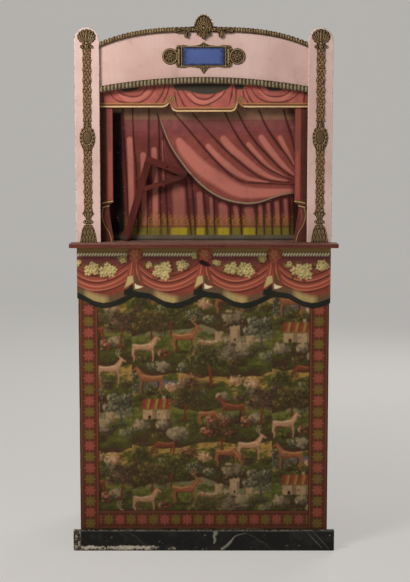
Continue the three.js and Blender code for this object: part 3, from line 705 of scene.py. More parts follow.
# %% Inks of the verdure paper
LEAF_DARK, LEAF, LEAF_LIT = rgb(54, 48, 30), rgb(84, 78, 42), rgb(140, 130, 78)
MEADOW, MEADOW_DEEP, EARTH = rgb(88, 94, 44), rgb(68, 70, 34), rgb(66, 52, 34)
PATH, MOSS, HAZE = rgb(166, 138, 78), rgb(108, 114, 54), rgb(122, 122, 92)
CREAM, FLESH, RUST, SLATE = rgb(200, 176, 140), rgb(168, 112, 88), rgb(124, 64, 44), rgb(94, 104, 116)
OAK = (LEAF_DARK, rgb(70, 58, 34), LEAF, rgb(104, 86, 48), LEAF_LIT)
GREEN = (LEAF_DARK, MEADOW_DEEP, MEADOW, MOSS, LEAF_LIT)
MISTY = (rgb(60, 62, 50), rgb(88, 90, 74), HAZE, rgb(140, 138, 114), rgb(166, 160, 132))
ROSY = (LEAF_DARK, MEADOW_DEEP, RUST, rgb(150, 92, 74), rgb(192, 146, 118))
DUSKY = (rgb(54, 42, 34), rgb(84, 62, 50), rgb(110, 84, 68), rgb(90, 88, 54), rgb(144, 118, 88))
ROCK = (rgb(72, 62, 52), rgb(100, 90, 74), rgb(124, 116, 94), rgb(142, 132, 106), rgb(166, 152, 120))
FALLOW = (rgb(196, 152, 106), rgb(140, 90, 60), rgb(76, 46, 34))
PALE = (rgb(214, 190, 158), rgb(176, 140, 112), rgb(104, 72, 56))
BAY = (rgb(162, 104, 70), rgb(110, 60, 41), rgb(58, 35, 26))
WOOL = (PALE[1], PALE[2], PALE[1], PALE[0], PALE[0])
REPEAT = (470, 520)  # width and height of one repeat, in millimetres
TALLEST, DEEPEST = 140, 160  # how far a thing reaches above and below its own height


# %% Leaves, trees and banks
def leaves(sheet, x, z, wide, tall, inks, count, size, seed):
    """A clump of leaf dabs, lit from the upper left."""
    rng = np.random.default_rng(seed)
    for _ in range(count):
        turn, far = rng.uniform(0, 2 * math.pi), math.sqrt(rng.uniform())
        u, v = around(0, 0, turn, far, far)
        light = 0.5 + 0.32 * (v - u) + rng.normal(0, 0.17)
        ink = inks[int(np.clip(light * len(inks), 0, len(inks) - 1))]
        long = size * rng.uniform(0.6, 1.4)
        sheet.dab(x + u * wide, z + v * tall, long, long * 0.55, rng.uniform(0, 3.1), ink=ink,
                  strength=0.9)


def shrub(sheet, x, z, size, inks, seed):
    """A shrub, or with the inks of stone a heap of rocks, which takes broader dabs."""
    sheet.dab(x, z + size * 0.3, size * 0.6, size * 0.4, ink=inks[0], strength=0.8, soft=0.6)
    broad = 8.5 if inks is ROCK else 4.4
    leaves(sheet, x, z + size * 0.36, size * 0.62, size * 0.42, inks, int(18 + size), broad, seed)


def tree(sheet, x, z, size, inks, seed, trunk=RUST):
    """A broad tree: a leaning trunk, and clumps of leaves one over another."""
    lean = np.random.default_rng(seed).uniform(-0.15, 0.15) * size
    stem = [(x, z), (x + lean * 0.3, z + size * 0.4), (x + lean, z + size * 0.8)]
    sheet.dab(x, z, size * 0.5, size * 0.07, ink=EARTH, strength=0.8, soft=0.8)
    sheet.stroke(stem, size * 0.06, size * 0.035, ink=trunk * 0.6)
    sheet.stroke([(px - 1, pz) for px, pz in stem], size * 0.018, ink=trunk * 1.4, strength=0.7)
    for u, v, r in ((0.3, 0.62, 0.3), (-0.34, 0.66, 0.3), (0.0, 0.78, 0.4), (0.22, 1.0, 0.28),
                    (-0.18, 1.02, 0.3)):
        at = (x + lean + u * size, z + v * size)
        wide, tall = r * size, r * size * 0.7
        sheet.dab(*at, wide, tall, ink=inks[0], strength=0.8, soft=0.5)
        leaves(sheet, *at, wide, tall, inks, int(26 + size * 0.45), 4.6, seed + int(99 * r))


def bank(sheet, x, z, lit, seed):
    """A grassy bank, lit along its brow, with undergrowth below it."""
    part, gx, gz = sheet.near(sheet.x[0], sheet.x[-1], z - DEEPEST, z + 40)
    u, v = gx - x, 2 * (gz - z)
    brow = 46 * (clouds(u, 0 * u, 120, seed) - 0.5) + 14 * (clouds(u, 0 * u, 33, seed) - 0.5)
    depth = z + brow - gz
    rough = 0.55 * clouds(u, v, 34, seed + 1) + 0.45 * clouds(u, v, 10, seed + 2)
    fall = clamp(depth / 120 + (rough - 0.5) * 1.2)
    inks = np.stack([lit, MEADOW, MEADOW_DEEP, EARTH])
    ink = np.stack([np.interp(fall, [0.04, 0.26, 0.66, 1], inks[:, k]) for k in range(3)], -1)
    sheet.cover(part, ink, clamp(depth / 3))
    rng = np.random.default_rng(seed)
    for k in range(10):
        at = x + (k + rng.uniform(0.1, 0.9)) * REPEAT[0] / 10, z - rng.uniform(44, 112)
        inks = (OAK, DUSKY, GREEN, MISTY, ROCK)[rng.integers(5)]
        shrub(sheet, *at, rng.uniform(30, 60), inks, seed + k)


# %% Blossoms and pools
def blossom(sheet, x, z, size, petals, ink, heart, turn=0.0):
    """A flower of round petals, darker between them, with a heart."""
    for k in range(petals):
        a = turn + 2 * math.pi * k / petals
        at = around(x, z, a, 0.58 * size, 0.58 * size)
        sheet.dab(*at, 0.44 * size, 0.36 * size, a, ink=ink, soft=0.45)
    sheet.dab(x, z, 0.26 * size, ink=heart)


def pool(sheet, x, z, wide):
    sheet.dab(x, z, wide, wide * 0.2, ink=SLATE * 0.9, soft=0.3)
    for side in (-1, 1):
        shrub(sheet, x + side * wide, z - 14, wide * 0.6, ROCK, 40 + side)


# %% Beasts
def beast(sheet, x, z, size, facing, coat, pose="standing"):
    """A four-legged beast from the side: standing, grazing or antlered."""
    light, middle, dark = coat

    def at(*points):
        return [(x + facing * size * u, z + size * v) for u, v in points]

    def limb(points, *widths, ink=middle, strength=1.0, soft=0.25):
        sheet.stroke(at(*points), *(w * size for w in widths), ink=ink, strength=strength, soft=soft)

    sheet.dab(x, z, size * 0.55, size * 0.08, ink=EARTH * 0.7, strength=0.8, soft=0.8)
    limb([(0.24, 0.5), (0.3, 0.25), (0.25, 0.02)], 0.04, 0.022, ink=dark)
    limb([(-0.28, 0.5), (-0.3, 0.28), (-0.24, 0.15), (-0.27, 0.02)], 0.06, 0.022, ink=dark)
    body = at((-0.47, 0.6), (-0.38, 0.71), (-0.1, 0.67), (0.2, 0.73), (0.38, 0.68), (0.41, 0.54),
              (0.3, 0.43), (0.02, 0.43), (-0.26, 0.46), (-0.44, 0.44))
    sheet.fill(body, middle, smooth=True)
    limb([(0.33, 0.5), (0.38, 0.27), (0.36, 0.0)], 0.06, 0.025)
    limb([(-0.38, 0.54), (-0.44, 0.3), (-0.37, 0.17), (-0.4, 0.0)], 0.09, 0.026)
    neck, head = [(0.28, 0.62), (0.41, 0.8), (0.5, 0.96)], [(0.48, 0.98), (0.66, 0.87)]
    if pose == "grazing":
        neck, head = [(0.3, 0.62), (0.47, 0.44), (0.55, 0.24)], [(0.53, 0.27), (0.63, 0.08)]
    limb(neck, 0.14, 0.07)
    limb(head, 0.065, 0.035)
    limb([head[0], (head[0][0] - 0.1, head[0][1] + 0.07)], 0.03, 0.012, ink=dark)
    limb([(-0.42, 0.66), (-0.1, 0.63), (0.25, 0.69)], 0.05, ink=light, strength=0.75, soft=1)
    limb([(-0.2, 0.47), (0.05, 0.45), (0.32, 0.49)], 0.05, ink=dark, strength=0.7, soft=1)
    limb(neck, 0.05, 0.02, ink=light, strength=0.5, soft=1)
    for k in range(7):
        sheet.dab(*at((-0.35 + 0.1 * k, 0.57 + 0.05 * (k % 2)))[0], size * 0.018, ink=light)
    if pose == "antlered":
        for lean in (0.0, 0.1):
            top = (head[0][0] - 0.12 + lean, 1.38)
            limb([head[0], (top[0] - 0.08, 1.18), top], 0.018, ink=light)
            limb([(top[0] - 0.07, 1.16), (top[0] + 0.08, 1.26)], 0.014, ink=light)


def sheep(sheet, x, z, size, facing, seed):
    for u in (-0.3, -0.2, 0.2, 0.3):
        sheet.stroke([(x + u * size, z + 0.3 * size), (x + u * size, z)], size * 0.035, ink=BAY[2])
    shrub(sheet, x, z + 0.12 * size, size * 0.74, WOOL, seed)
    sheet.dab(x + facing * 0.5 * size, z + 0.5 * size, size * 0.13, size * 0.09, ink=BAY[1])


# %% Buildings
def wall(sheet, x, z, wide, tall, seed):
    """A lit wall of rough stone, shaded at its right."""
    rng = np.random.default_rng(seed)
    top = [(x + wide * (1 - u / 5), z + tall * rng.uniform(0.88, 1)) for u in range(6)]
    sheet.fill([(x, z), (x + wide, z), *top], CREAM * 0.72, soft=1)
    for _ in range(int(wide * tall / 60)):
        sheet.dab(x + rng.uniform(3, wide - 3), z + rng.uniform(0, tall * 0.9), 4, 2,
                  ink=(CREAM, FLESH, PATH, BAY[0])[rng.integers(4)], strength=0.6)
    shade = [(x + wide * 0.84, z), (x + wide * 0.84, z + tall * 0.8)]
    sheet.dim(sheet.line(shade, wide * 0.16, smooth=False), 0.55, 0.1)


def opening(sheet, x, z, wide, tall):
    sheet.fill([(x - wide / 2, z), (x + wide / 2, z), (x + wide / 2, z + tall * 0.8), (x, z + tall),
                (x - wide / 2, z + tall * 0.8)], BAY[2], soft=1)


def ruin(sheet, x, z, size):
    """Three broken towers with a wall between them, on rocks, half grown over."""
    for u, wide, tall in ((-0.3, 1.3, 0.4), (0.66, 0.3, 0.66), (-0.42, 0.3, 0.8), (0.1, 0.36, 1.0)):
        wall(sheet, x + size * u, z, size * wide, size * tall, int(50 * tall))
        opening(sheet, x + size * (u + wide / 2), z + size * tall * 0.4, size * 0.1, size * 0.14)
    for u, v, share, inks in ((-0.5, -0.1, 0.7, ROCK), (0.1, -0.16, 0.9, ROCK), (0.7, -0.1, 0.6, ROCK),
                              (0.95, 0, 0.5, GREEN), (-0.15, 0.2, 0.3, OAK)):
        shrub(sheet, x + size * u, z + size * v, size * share, inks, int(90 * share))


def cottage(sheet, x, z, size):
    """A low cottage with a thatched roof and a chimney."""
    for k in (0, 1):
        wall(sheet, x + size * 0.5 * k, z, size * 0.5, size * 0.4, 11 + k)
    wall(sheet, x + size * 0.7, z + size * 0.6, size * 0.14, size * 0.3, 13)
    for k in range(11):
        u = x + size * (0.02 + 0.096 * k)
        ink = (RUST, RUST * 1.3, PATH * 0.8)[k % 3]
        sheet.stroke([(u + 3, z + size * 0.72), (u - 3, z + size * 0.42)], size * 0.06, ink=ink)
    opening(sheet, x + size * 0.25, z, size * 0.14, size * 0.18)
    opening(sheet, x + size * 0.6, z + size * 0.16, size * 0.12, size * 0.06)


# %% One repeat
SCENERY = [  # height in the repeat, what it is, its place across, and what that needs
    (506, bank, 0, MOSS, 21), (474, tree, 66, 104, OAK, 1),
    (470, tree, 436, 92, MISTY, 2, SLATE * 0.7),
    (460, beast, 176, 88, 1, FALLOW, "antlered"), (456, ruin, 318, 96),
    (444, beast, 252, 78, -1, PALE, "grazing"), (436, shrub, 116, 50, ROSY, 31),
    (428, beast, 40, 84, 1, PALE),
    (388, bank, 0, PATH, 24), (352, pool, 116, 62), (346, tree, 266, 124, GREEN, 3),
    (342, sheep, 352, 58, -1, 5), (332, sheep, 404, 62, 1, 6), (330, shrub, 202, 74, ROSY, 7),
    (318, beast, 62, 90, -1, FALLOW),
    (326, shrub, 24, 84, MISTY, 8), (320, sheep, 132, 52, 1, 9),
    (262, bank, 0, MOSS, 27), (230, cottage, 36, 92), (226, tree, 176, 98, OAK, 9),
    (222, beast, 338, 88, -1, BAY), (208, beast, 256, 72, 1, FALLOW, "grazing"),
    (214, tree, 432, 104, DUSKY, 10), (204, shrub, 392, 50, ROSY, 33),
    (140, bank, 0, PATH, 30), (110, tree, 304, 108, ROSY, 11),
    (100, beast, 108, 76, -1, BAY, "grazing"),
    (94, beast, 394, 84, 1, PALE, "antlered"), (90, shrub, 190, 60, ROSY, 35),
    (86, shrub, 34, 84, GREEN, 12),
    (80, sheep, 246, 56, -1, 13), (70, beast, 318, 82, 1, FALLOW, "grazing"),
    (12, bank, 0, HAZE, 33), (-2, shrub, 350, 74, DUSKY, 14), (-4, tree, 130, 92, GREEN, 15),
]


# %% Printing a length
def verdure(sheet, start, shift):
    """Prints a length whose repeat begins at a place across and is shifted in height."""
    sheet.ink[:] = MEADOW_DEEP
    marks = [(z + shift + turn * REPEAT[1], *what) for z, *what in SCENERY for turn in range(-2, 4)]
    for z, draw, across, *needs in sorted(marks, key=lambda mark: -mark[0]):
        if sheet.z[0] - TALLEST < z < sheet.z[-1] + DEEPEST:
            draw(sheet, start + across, z, *needs)
    spread = clouds(sheet.x[None, :], sheet.z[:, None], 5, 3)
    sheet.ink *= (0.84 + 0.32 * spread)[..., None] * (1.12, 0.97, 0.82)


def shade_towards_floor(sheet):
    """Darkens a finished length towards the floor: painted shade, where the light falls off downwards.
    """
    sheet.ink *= np.interp(sheet.z, [60, 360], [0.72, 1])[:, None, None]


print("verdure pattern has", len(SCENERY), "things in a repeat")

# %% [markdown]
# ## The flowered border
# A border runs up both sides and along the foot: round flowers, by turns rose and olive, on a
# red-brown ground, between dark and rose stripes with small dark dots. It is printed over the
# verdure, strip by strip, so one function draws a stretch from one point to another.

# %% The flowered border
BORDER = 66  # its width in millimetres
FLOWER_PITCH = 38
GROUND, DARK_LINE = rgb(104, 54, 36), rgb(38, 24, 16)
ROSE, OLIVE, STRIPE = rgb(172, 86, 70), rgb(124, 108, 42), rgb(134, 76, 48)


def border(sheet, start, end, inward):
    """A stretch of border between two points on its outer edge; inward is +1 or -1."""
    (ax, az), (bx, bz) = start, end
    length = math.hypot(bx - ax, bz - az)
    ux, uz = (bx - ax) / length, (bz - az) / length
    vx, vz = -uz * inward, ux * inward

    def at(along, across):
        return ax + ux * along + vx * across, az + uz * along + vz * across

    for across, half, ink in ((33, 33, GROUND), (2, 2.2, DARK_LINE), (6.5, 2.4, STRIPE),
                              (10.5, 1.2, DARK_LINE), (54.5, 1.2, DARK_LINE), (59, 2.6, STRIPE),
                              (64, 2.2, DARK_LINE)):
        ends = [at(0, across), at(length, across)]
        sheet.stroke(ends, half, ink=ink, soft=0.1, smooth=False)
    pitch = length / round(length / FLOWER_PITCH)
    for k in range(round(length / pitch)):
        middle = at((k + 0.5) * pitch, BORDER / 2)
        ink, heart = (ROSE, OLIVE) if k % 2 else (OLIVE, ROSE)
        for petal in range(8):
            a = petal * math.pi / 4
            sheet.dab(*around(*middle, a, 13, 13), 7.2, 4.6, a, ink=ink, soft=0.35)
        sheet.dab(*middle, 10, ink=ink)
        sheet.dim(sheet.spot(*middle, 8), 0.62, 1)
        sheet.dab(*middle, 3.6, ink=heart)
        for share in (0, 1 / 3, 2 / 3):
            for across in (14.5, BORDER - 14.5):
                sheet.dab(*at((k + share) * pitch, across), 2.2, ink=DARK_LINE)
        sheet.dab(*at(k * pitch, BORDER / 2), 5, 3, ink=DARK_LINE)


# %% [markdown]
# ## Hanging the paper
# Three lengths meet at two seams across the front. Each is a thin sheet that lies on the panel.
# The box sides and the wings carry the same paper up to the height of the playboard.

# %% Hanging the front
PAPER = 0.26  # how far the paper stands off the board
FRONT_STEP, SIDE_STEP = 2.3, 3.2
SEAMS = (-241, 229)
low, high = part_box("lower_panel")
LEFT, RIGHT, FRONT, TOP = low.x / MM, high.x / MM, low.y / MM, high.z / MM
PLINTH_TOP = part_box("plinth_front_board")[1].z / MM
for name, start, end, turn in (("left", LEFT, SEAMS[0], 0), ("middle", *SEAMS, 1),
                               ("right", SEAMS[1], RIGHT, 0)):
    sheet = Field((start, end), (0, TOP), FRONT_STEP)
    verdure(sheet, end - REPEAT[0] if name == "left" else start, turn * REPEAT[1] / 2 - 40)
    border(sheet, (LEFT, PLINTH_TOP), (RIGHT, PLINTH_TOP), 1)
    border(sheet, (LEFT, PLINTH_TOP), (LEFT, TOP), -1)
    border(sheet, (RIGHT, PLINTH_TOP), (RIGHT, TOP), 1)
    shade_towards_floor(sheet)
    ruled(f"front_paper_{name}", sheet, net(start, end, FRONT_STEP), 0.4, TOP - 0.4,
          round(TOP / FRONT_STEP), FRONT - PAPER, PAPER - 0.03, "stand",
          paper_print, plain_paper)

# %% Papering the sides and wings
# The side paper is printed flat along Y, and `turned` lays it on the outside of a side board.
SIDE_FOOT = 3  # the paper ends just above the floor


def turned(side, x):
    """Turns a sheet printed in X and Z so that it faces outwards at a side, at a place in X."""
    sign = dict(SIDES)[side]
    return Matrix(((0, -sign, 0, x * MM), (sign, 0, 0, 0), (0, 0, 1, 0), (0, 0, 0, 1)))


for side, sign in SIDES:
    for kind, body in (("side", "stand"), ("wing", f"{side}_wing")):
        low, high = box_mm(f"{side}_{kind}_board")
        across = sorted((sign * low.y, sign * high.y))
        sheet = Field(across, (0, TOP), SIDE_STEP)
        verdure(sheet, across[0] - (300 if kind == "side" else 40), 90 * sign)
        border(sheet, (across[0], SIDE_FOOT), (across[1], SIDE_FOOT), 1)
        if kind == "wing":
            border(sheet, (sign * high.y, SIDE_FOOT), (sign * high.y, TOP), sign)
        shade_towards_floor(sheet)
        ruled(f"{side}_{kind}_paper", sheet, net(*across, SIDE_STEP), SIDE_FOOT, TOP - 2,
              round(TOP / SIDE_STEP), -PAPER, PAPER - 0.03, body, paper_print,
              plain_paper, outward=turned(side, sign * RIGHT))

# %% [markdown]
# ## The swag border
# Under the playboard hangs a strip of printed card with four swags of red drapery, bunches of
# pale flowers and three knots. Its lower edge is cut in scallops with a black band along them,
# and is read from the node, so the band follows it exactly.

# %% Inks and shapes of the swag border
PITCH = 231  # from one knot to the next
SWAG_DEEP, SWAG, SWAG_LIT = rgb(100, 46, 38), rgb(164, 82, 62), rgb(214, 126, 98)
PLUM, OCHRE, BEAD, STRAW = rgb(124, 66, 62), rgb(172, 138, 80), rgb(252, 238, 190), rgb(222, 202, 132)
FRINGE, FRINGE_PALE, BLACK_BAND = rgb(108, 86, 60), rgb(190, 164, 106), rgb(32, 36, 28)
STREAKS = ((934, 984, 3, SWAG_DEEP), (925, 978, 4.5, SWAG), (918, 971, 2.4, SWAG_LIT),
           (911, 964, 3.6, SWAG_DEEP), (904, 957, 5, SWAG), (899, 951, 3.2, SWAG_LIT),
           (892, 942, 4.4, SWAG), (887, 934, 2.2, SWAG_LIT), (881, 924, 3, SWAG_DEEP))
BUNCHES = (((-24, 960, 27), (26, 954, 30), (78, 992, 15), (-72, 978, 12)),
           ((-65, 972, 12), (-20, 952, 35), (46, 970, 22), (86, 1000, 10)))


# %% Swags and knots
def swag(sheet, centre, bunches, seed):
    """A swag of drapery between two knots, with bunches of flowers on it."""
    for sag, high, half, ink in STREAKS:
        low = sag + (high - sag) * 0.3
        points = [(centre - 108, high), (centre - 64, low), (centre - 10, sag), (centre + 50, low - 1),
                  (centre + 108, high)]
        sheet.stroke(points, half * 0.5, half, half * 1.4, half, half * 0.5, ink=ink, strength=0.9,
                     soft=0.6)
    for u, z, size in bunches:
        leaves(sheet, centre + u, z - 2, size * 1.3, size * 0.95, (SWAG_DEEP, LEAF_DARK, OLIVE * 0.5,
               OLIVE), int(size * 2.4), 4.6, seed + size)
        rng = np.random.default_rng(seed + size)
        for k in range(3 + size // 5):
            a = 2.4 * k + seed
            far = size * 0.66 * math.sqrt((k + 0.3) / (3 + size // 5))
            at = around(centre + u, z, a, 1.25 * far, far)
            broad = (4 + size * 0.2) * rng.uniform(0.8, 1.5)
            blossom(sheet, *at, broad, 5, STRAW * rng.uniform(0.7, 1.1), OLIVE, a)
            sheet.dab(at[0] - 2, at[1] + 3, size * 0.14, ink=BEAD, strength=0.7, soft=0.8)


def knot(sheet, x):
    """A rosette with two hanging tails, each with a hem that ends in a point."""
    def tail(*points, ink, soft=0.8):
        sheet.fill([(x + u, z) for u, z in points], ink, soft=soft)

    tail((-8, 995), (0, 950), (0, 912), (-8, 906), (-34, 892), (-28, 925), (-19, 965), ink=SWAG)
    tail((0, 995), (14, 978), (24, 944), (33, 902), (14, 893), (2, 893), (0, 950), ink=SWAG * 0.72)
    for u, v, half, ink in ((-6, -12, 1.6, SWAG_DEEP), (-11, -18, 3, SWAG_LIT),
                            (-15, -25, 1.6, SWAG_DEEP), (4, 9, 1.6, SWAG_DEEP),
                            (9, 17, 2.6, SWAG_LIT), (14, 24, 1.6, SWAG_DEEP)):
        points = [(x + u * 0.7, 984), (x + u, 950), (x + v, 922)]
        sheet.stroke(points, 0.8, half, half, ink=ink, strength=0.85, soft=0.7)
    tail((3, 944), (13, 936), (21, 908), (3, 908), ink=FRINGE * 0.8)
    tail((-23, 934), (-3, 938), (0, 913), (-10, 906), (-35, 891), (-28, 912), ink=STRAW * 0.86, soft=4)
    tail((1, 912), (10, 905), (32, 899), (15, 892), (2, 891), ink=BEAD)
    tail((-36, 870), (-34, 889), (-22, 893), (-5, 912), (-3, 888), (10, 884), (10, 870), ink=BLACK_BAND)
    sheet.dab(x + 3, 1006, 31, 25, ink=SWAG_DEEP)
    sheet.dab(x + 2, 987, 15, 12, ink=SWAG)
    blossom(sheet, x + 4, 1008, 27, 7, rgb(186, 106, 74), SWAG_LIT, 0.3)
    blossom(sheet, x + 2, 1009, 15, 5, rgb(220, 144, 106), OCHRE, 0.8)


# %% The whole swag border
def swag_border(sheet, places, edge):
    """Draws the whole strip; places and edge give its lower rim."""
    part, gx, gz = sheet.whole()
    rim = np.interp(gx, places, edge)
    rise = gz - rim
    mottle = 0.78 + 0.3 * clouds(gx, gz, 12, 8) + 0.14 * clouds(gx, gz, 4, 3)
    folded = clamp((978 - gz + 14 * np.cos(gx * 2 * math.pi / PITCH)) / 20)
    sheet.ink[part] = tinted(blended(PLUM, SWAG * 0.72, folded), mottle)
    for z, half, ink in ((1007, 8, rgb(76, 36, 30)), (1022, 9.6, OCHRE), (1025, 1.2, OCHRE * 0.6),
                         (1014, 1.4, rgb(70, 56, 34)), (999, 1.0, rgb(186, 140, 104))):
        sheet.stroke([(-430, z), (430, z)], half, ink=ink, soft=0.15, smooth=False)
    for x in np.arange(-415, 416, 9.4):
        sheet.dab(x, 1006.5, 4.4, 8, -0.5, ink=BEAD, soft=0.3)
    centres = [(k * PITCH, BUNCHES[j % 2]) for j, k in enumerate((-1.5, -0.5, 0.5, 1.5))]
    for k, (centre, bunches) in enumerate(centres):
        swag(sheet, centre, bunches, 50 + k)
    centre = (gx + 10) % PITCH - PITCH / 2
    height = np.interp(np.abs(centre), [0, 40, 100], [50, 47, 40])
    pale = clamp((46 - np.abs(centre)) / 20)
    threads = 0.78 + 0.44 * (np.sin(gx * 1.9) > 0)
    fringe = tinted(blended(FRINGE, FRINGE_PALE, pale), threads)
    sheet.cover(part, fringe, clamp((height - rise) / 16))
    black = tinted(BLACK_BAND, 0.8 + 0.4 * clouds(gx, gz, 8, 2))
    sheet.cover(part, black, clamp((19 - rise) / 1.5))
    for k in (-1, 0, 1):
        knot(sheet, k * PITCH)
    tear = [(-20, 984), (-6, 991), (10, 985), (29, 967), (8, 964), (-12, 972)]
    sheet.fill(tear, rgb(44, 18, 16), soft=3)
    sheet.stroke([(417, 1000), (417, 880)], 1.1, ink=FRINGE_PALE, strength=0.7)


# %% Cutting the swag border
CARD_STEP = 1.5
places, edge, _ = edges_of("scalloped_border")
low, high = box_mm("scalloped_border")
strip = Field((low.x, high.x), (low.z, high.z), CARD_STEP)
swag_border(strip, places, edge)
cuts = net(low.x, high.x, CARD_STEP, *places)
ruled("swag_border_card", strip, cuts, np.interp(cuts, places, edge), high.z - 0.2,
      round((high.z - low.z) / CARD_STEP), low.y, high.y - low.y - 0.05, "stand",
      card_print, plain_paper, replaced=["scalloped_border"])

# %% [markdown]
# ## Painted draperies
# The valance and the two legs are cut out of board and painted as hanging cloth, and the
# curtain behind them is canvas painted as drawn cloth. All of the folds are paint: a dark line
# with a soft shade beside it, and a lit stretch between two lines. A gold braid ends each edge.

# %% Inks and strokes of the draperies
CLOTH, CLOTH_LIT, CLOTH_DEEP = rgb(194, 106, 94), rgb(220, 134, 118), rgb(86, 36, 34)
BRAID, BRAID_LIT, BRAID_DARK = rgb(196, 146, 84), rgb(250, 220, 160), rgb(56, 32, 22)
LINING, SHADOW = rgb(72, 68, 58), rgb(40, 20, 18)


def fold(sheet, points, half=2.6, ink=CLOTH_DEEP, strength=0.9):
    """A painted fold: a soft shade and a dark line in it."""
    sheet.stroke(points, half * 0.9, half * 2.6, half, ink=ink, strength=strength * 0.55, soft=1)
    sheet.stroke(points, half * 0.6, half * 1.1, half * 0.5, ink=ink * 0.55, strength=strength,
                 soft=0.6)


def lit(sheet, points, *halves, ink=CLOTH_LIT, strength=0.85):
    sheet.stroke(points, *halves, ink=ink, strength=strength, soft=0.4)


def braid(sheet, points, half=2.2, smooth=True):
    """A gold braid with a dark outline and a bright middle."""
    for wide, ink, soft in ((1.9, BRAID_DARK, 0.5), (1, BRAID, 0.3), (0.5, BRAID_LIT, 0.5)):
        sheet.stroke(points, half * wide, ink=ink, strength=0.95, soft=soft, smooth=smooth)


def mirrored(points, sign):
    return [(sign * x, z) for x, z in points]


# %% The valance
PAINT_STEP = 1.5
VALANCE_FOLDS = [  # three swags, and the folds that fan out from the two knots
    [(-309, 1540), (-293, 1517), (-265, 1506), (-225, 1503), (-192, 1514), (-169, 1537), (-160, 1560)],
    [(-290, 1550), (-268, 1532), (-232, 1524), (-204, 1532), (-186, 1556)],
    [(-71, 1545), (-40, 1508), (0, 1496), (37, 1510), (65, 1533), (77, 1562)],
    [(-48, 1548), (-22, 1522), (8, 1516), (34, 1530), (48, 1556)],
    [(154, 1552), (177, 1522), (211, 1507), (265, 1507), (296, 1522), (319, 1544)],
    [(178, 1556), (206, 1530), (240, 1524), (270, 1532), (292, 1552)],
    [(-124, 1565), (-135, 1537), (-149, 1514), (-164, 1500)],
    [(-113, 1562), (-121, 1531), (-136, 1504)], [(-97, 1540), (-91, 1512), (-85, 1486)],
    [(-88, 1545), (-68, 1502), (-56, 1490)], [(94, 1560), (91, 1528), (83, 1498)],
    [(106, 1560), (106, 1530), (101, 1502)], [(128, 1548), (134, 1522), (152, 1496)],
    [(137, 1550), (154, 1514), (172, 1496)], [(-334, 1545), (-330, 1510), (-331, 1494)],
    [(334, 1548), (329, 1512), (332, 1496)],
]
KNOTS = (-106, 119)


def paint_valance(sheet, places, edge):
    part, gx, gz = sheet.whole()
    sheet.ink[part] = tinted(CLOTH, 0.84 + 0.3 * clouds(gx, gz, 18, 4))
    for centre, sag in ((-236, 1519), (2, 1508), (237, 1520)):
        lit(sheet, [(centre - 52, sag + 24), (centre - 18, sag), (centre + 22, sag),
                    (centre + 56, sag + 24)], 5, 10, 11, 5)
    for points in VALANCE_FOLDS:
        fold(sheet, points, 2.5)
    for points in ([(-290, 1600), (-286, 1552), (-250, 1538), (-210, 1552), (-208, 1600)],
                   [(-103, 1620), (-100, 1550), (-58, 1541), (-10, 1530), (36, 1531), (64, 1541),
                    (90, 1560), (94, 1620)],
                   [(96, 1620), (98, 1552), (120, 1546), (134, 1554), (150, 1620)],
                   [(196, 1610), (204, 1550), (230, 1540), (262, 1550), (270, 1610)]):
        sheet.fill(points, LINING, soft=5, smooth=True)
    # Painted shade at both ends, where the valance meets the pilasters.
    for x in (-346, 346):
        sheet.dim(sheet.line([(x, 1560), (x, 1480)], 26), 0.5, 1)
    below = [(x, np.interp(x, places, edge)) for x in net(-400, 400, 6)]
    for rise, half, ink, strength in ((7, 6, rgb(120, 58, 48), 0.8), (12.5, 2.5, BRAID, 0.95),
                                      (15.8, 0.7, BRAID_DARK, 0.5), (8.6, 1.6, BRAID_DARK, 0.5),
                                      (3.6, 3.8, BRAID_DARK, 0.6), (3, 2.9, BRAID_LIT, 1)):
        sheet.stroke([(x, z + rise) for x, z in below], half, ink=ink, strength=strength, soft=0.3,
                     smooth=False)
    for x in KNOTS:
        sheet.stroke([(x, 1496), (x - 1, 1530)], 12, 8, ink=CLOTH, soft=0.5)
        for sign in (-1, 1):
            curl = [(10, 1493), (0, 1502), (-9, 1510), (-9, 1520), (-1, 1524), (5, 1517), (-1, 1511)]
            braid(sheet, [(x + sign * u, z) for u, z in curl], 1.7)
            sheet.stroke([(x + sign * 15, 1530), (x + sign * 19, 1500)], 1.3, ink=BRAID, strength=0.7)


# %% Painting the board of a node
def painted(name, node, paint, straight, sideways=False):
    """Paints the board of a node, which has one shaped edge; the other is straight."""
    places, *edges = edges_of(node, along=int(sideways))
    edge = edges[0] if straight > 0 else edges[1]
    low, high = box_mm(node)
    cloth = Field((low.x, high.x), (low.z, high.z), PAINT_STEP)
    paint(cloth, places, edge)
    ends = (low.z, high.z) if sideways else (low.x, high.x)
    wide = high.x - low.x if sideways else high.z - low.z
    cuts = net(*ends, PAINT_STEP, *places)
    ruled(name, cloth, cuts, np.interp(cuts, places, edge), straight, round(wide / PAINT_STEP),
          low.y, high.y - low.y, "stand", board_paint,
          bare_wood["Z" if sideways else "X"], sideways=sideways, replaced=[node])


painted("valance_cloth", "valance_board", paint_valance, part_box("valance_board")[1].z / MM)


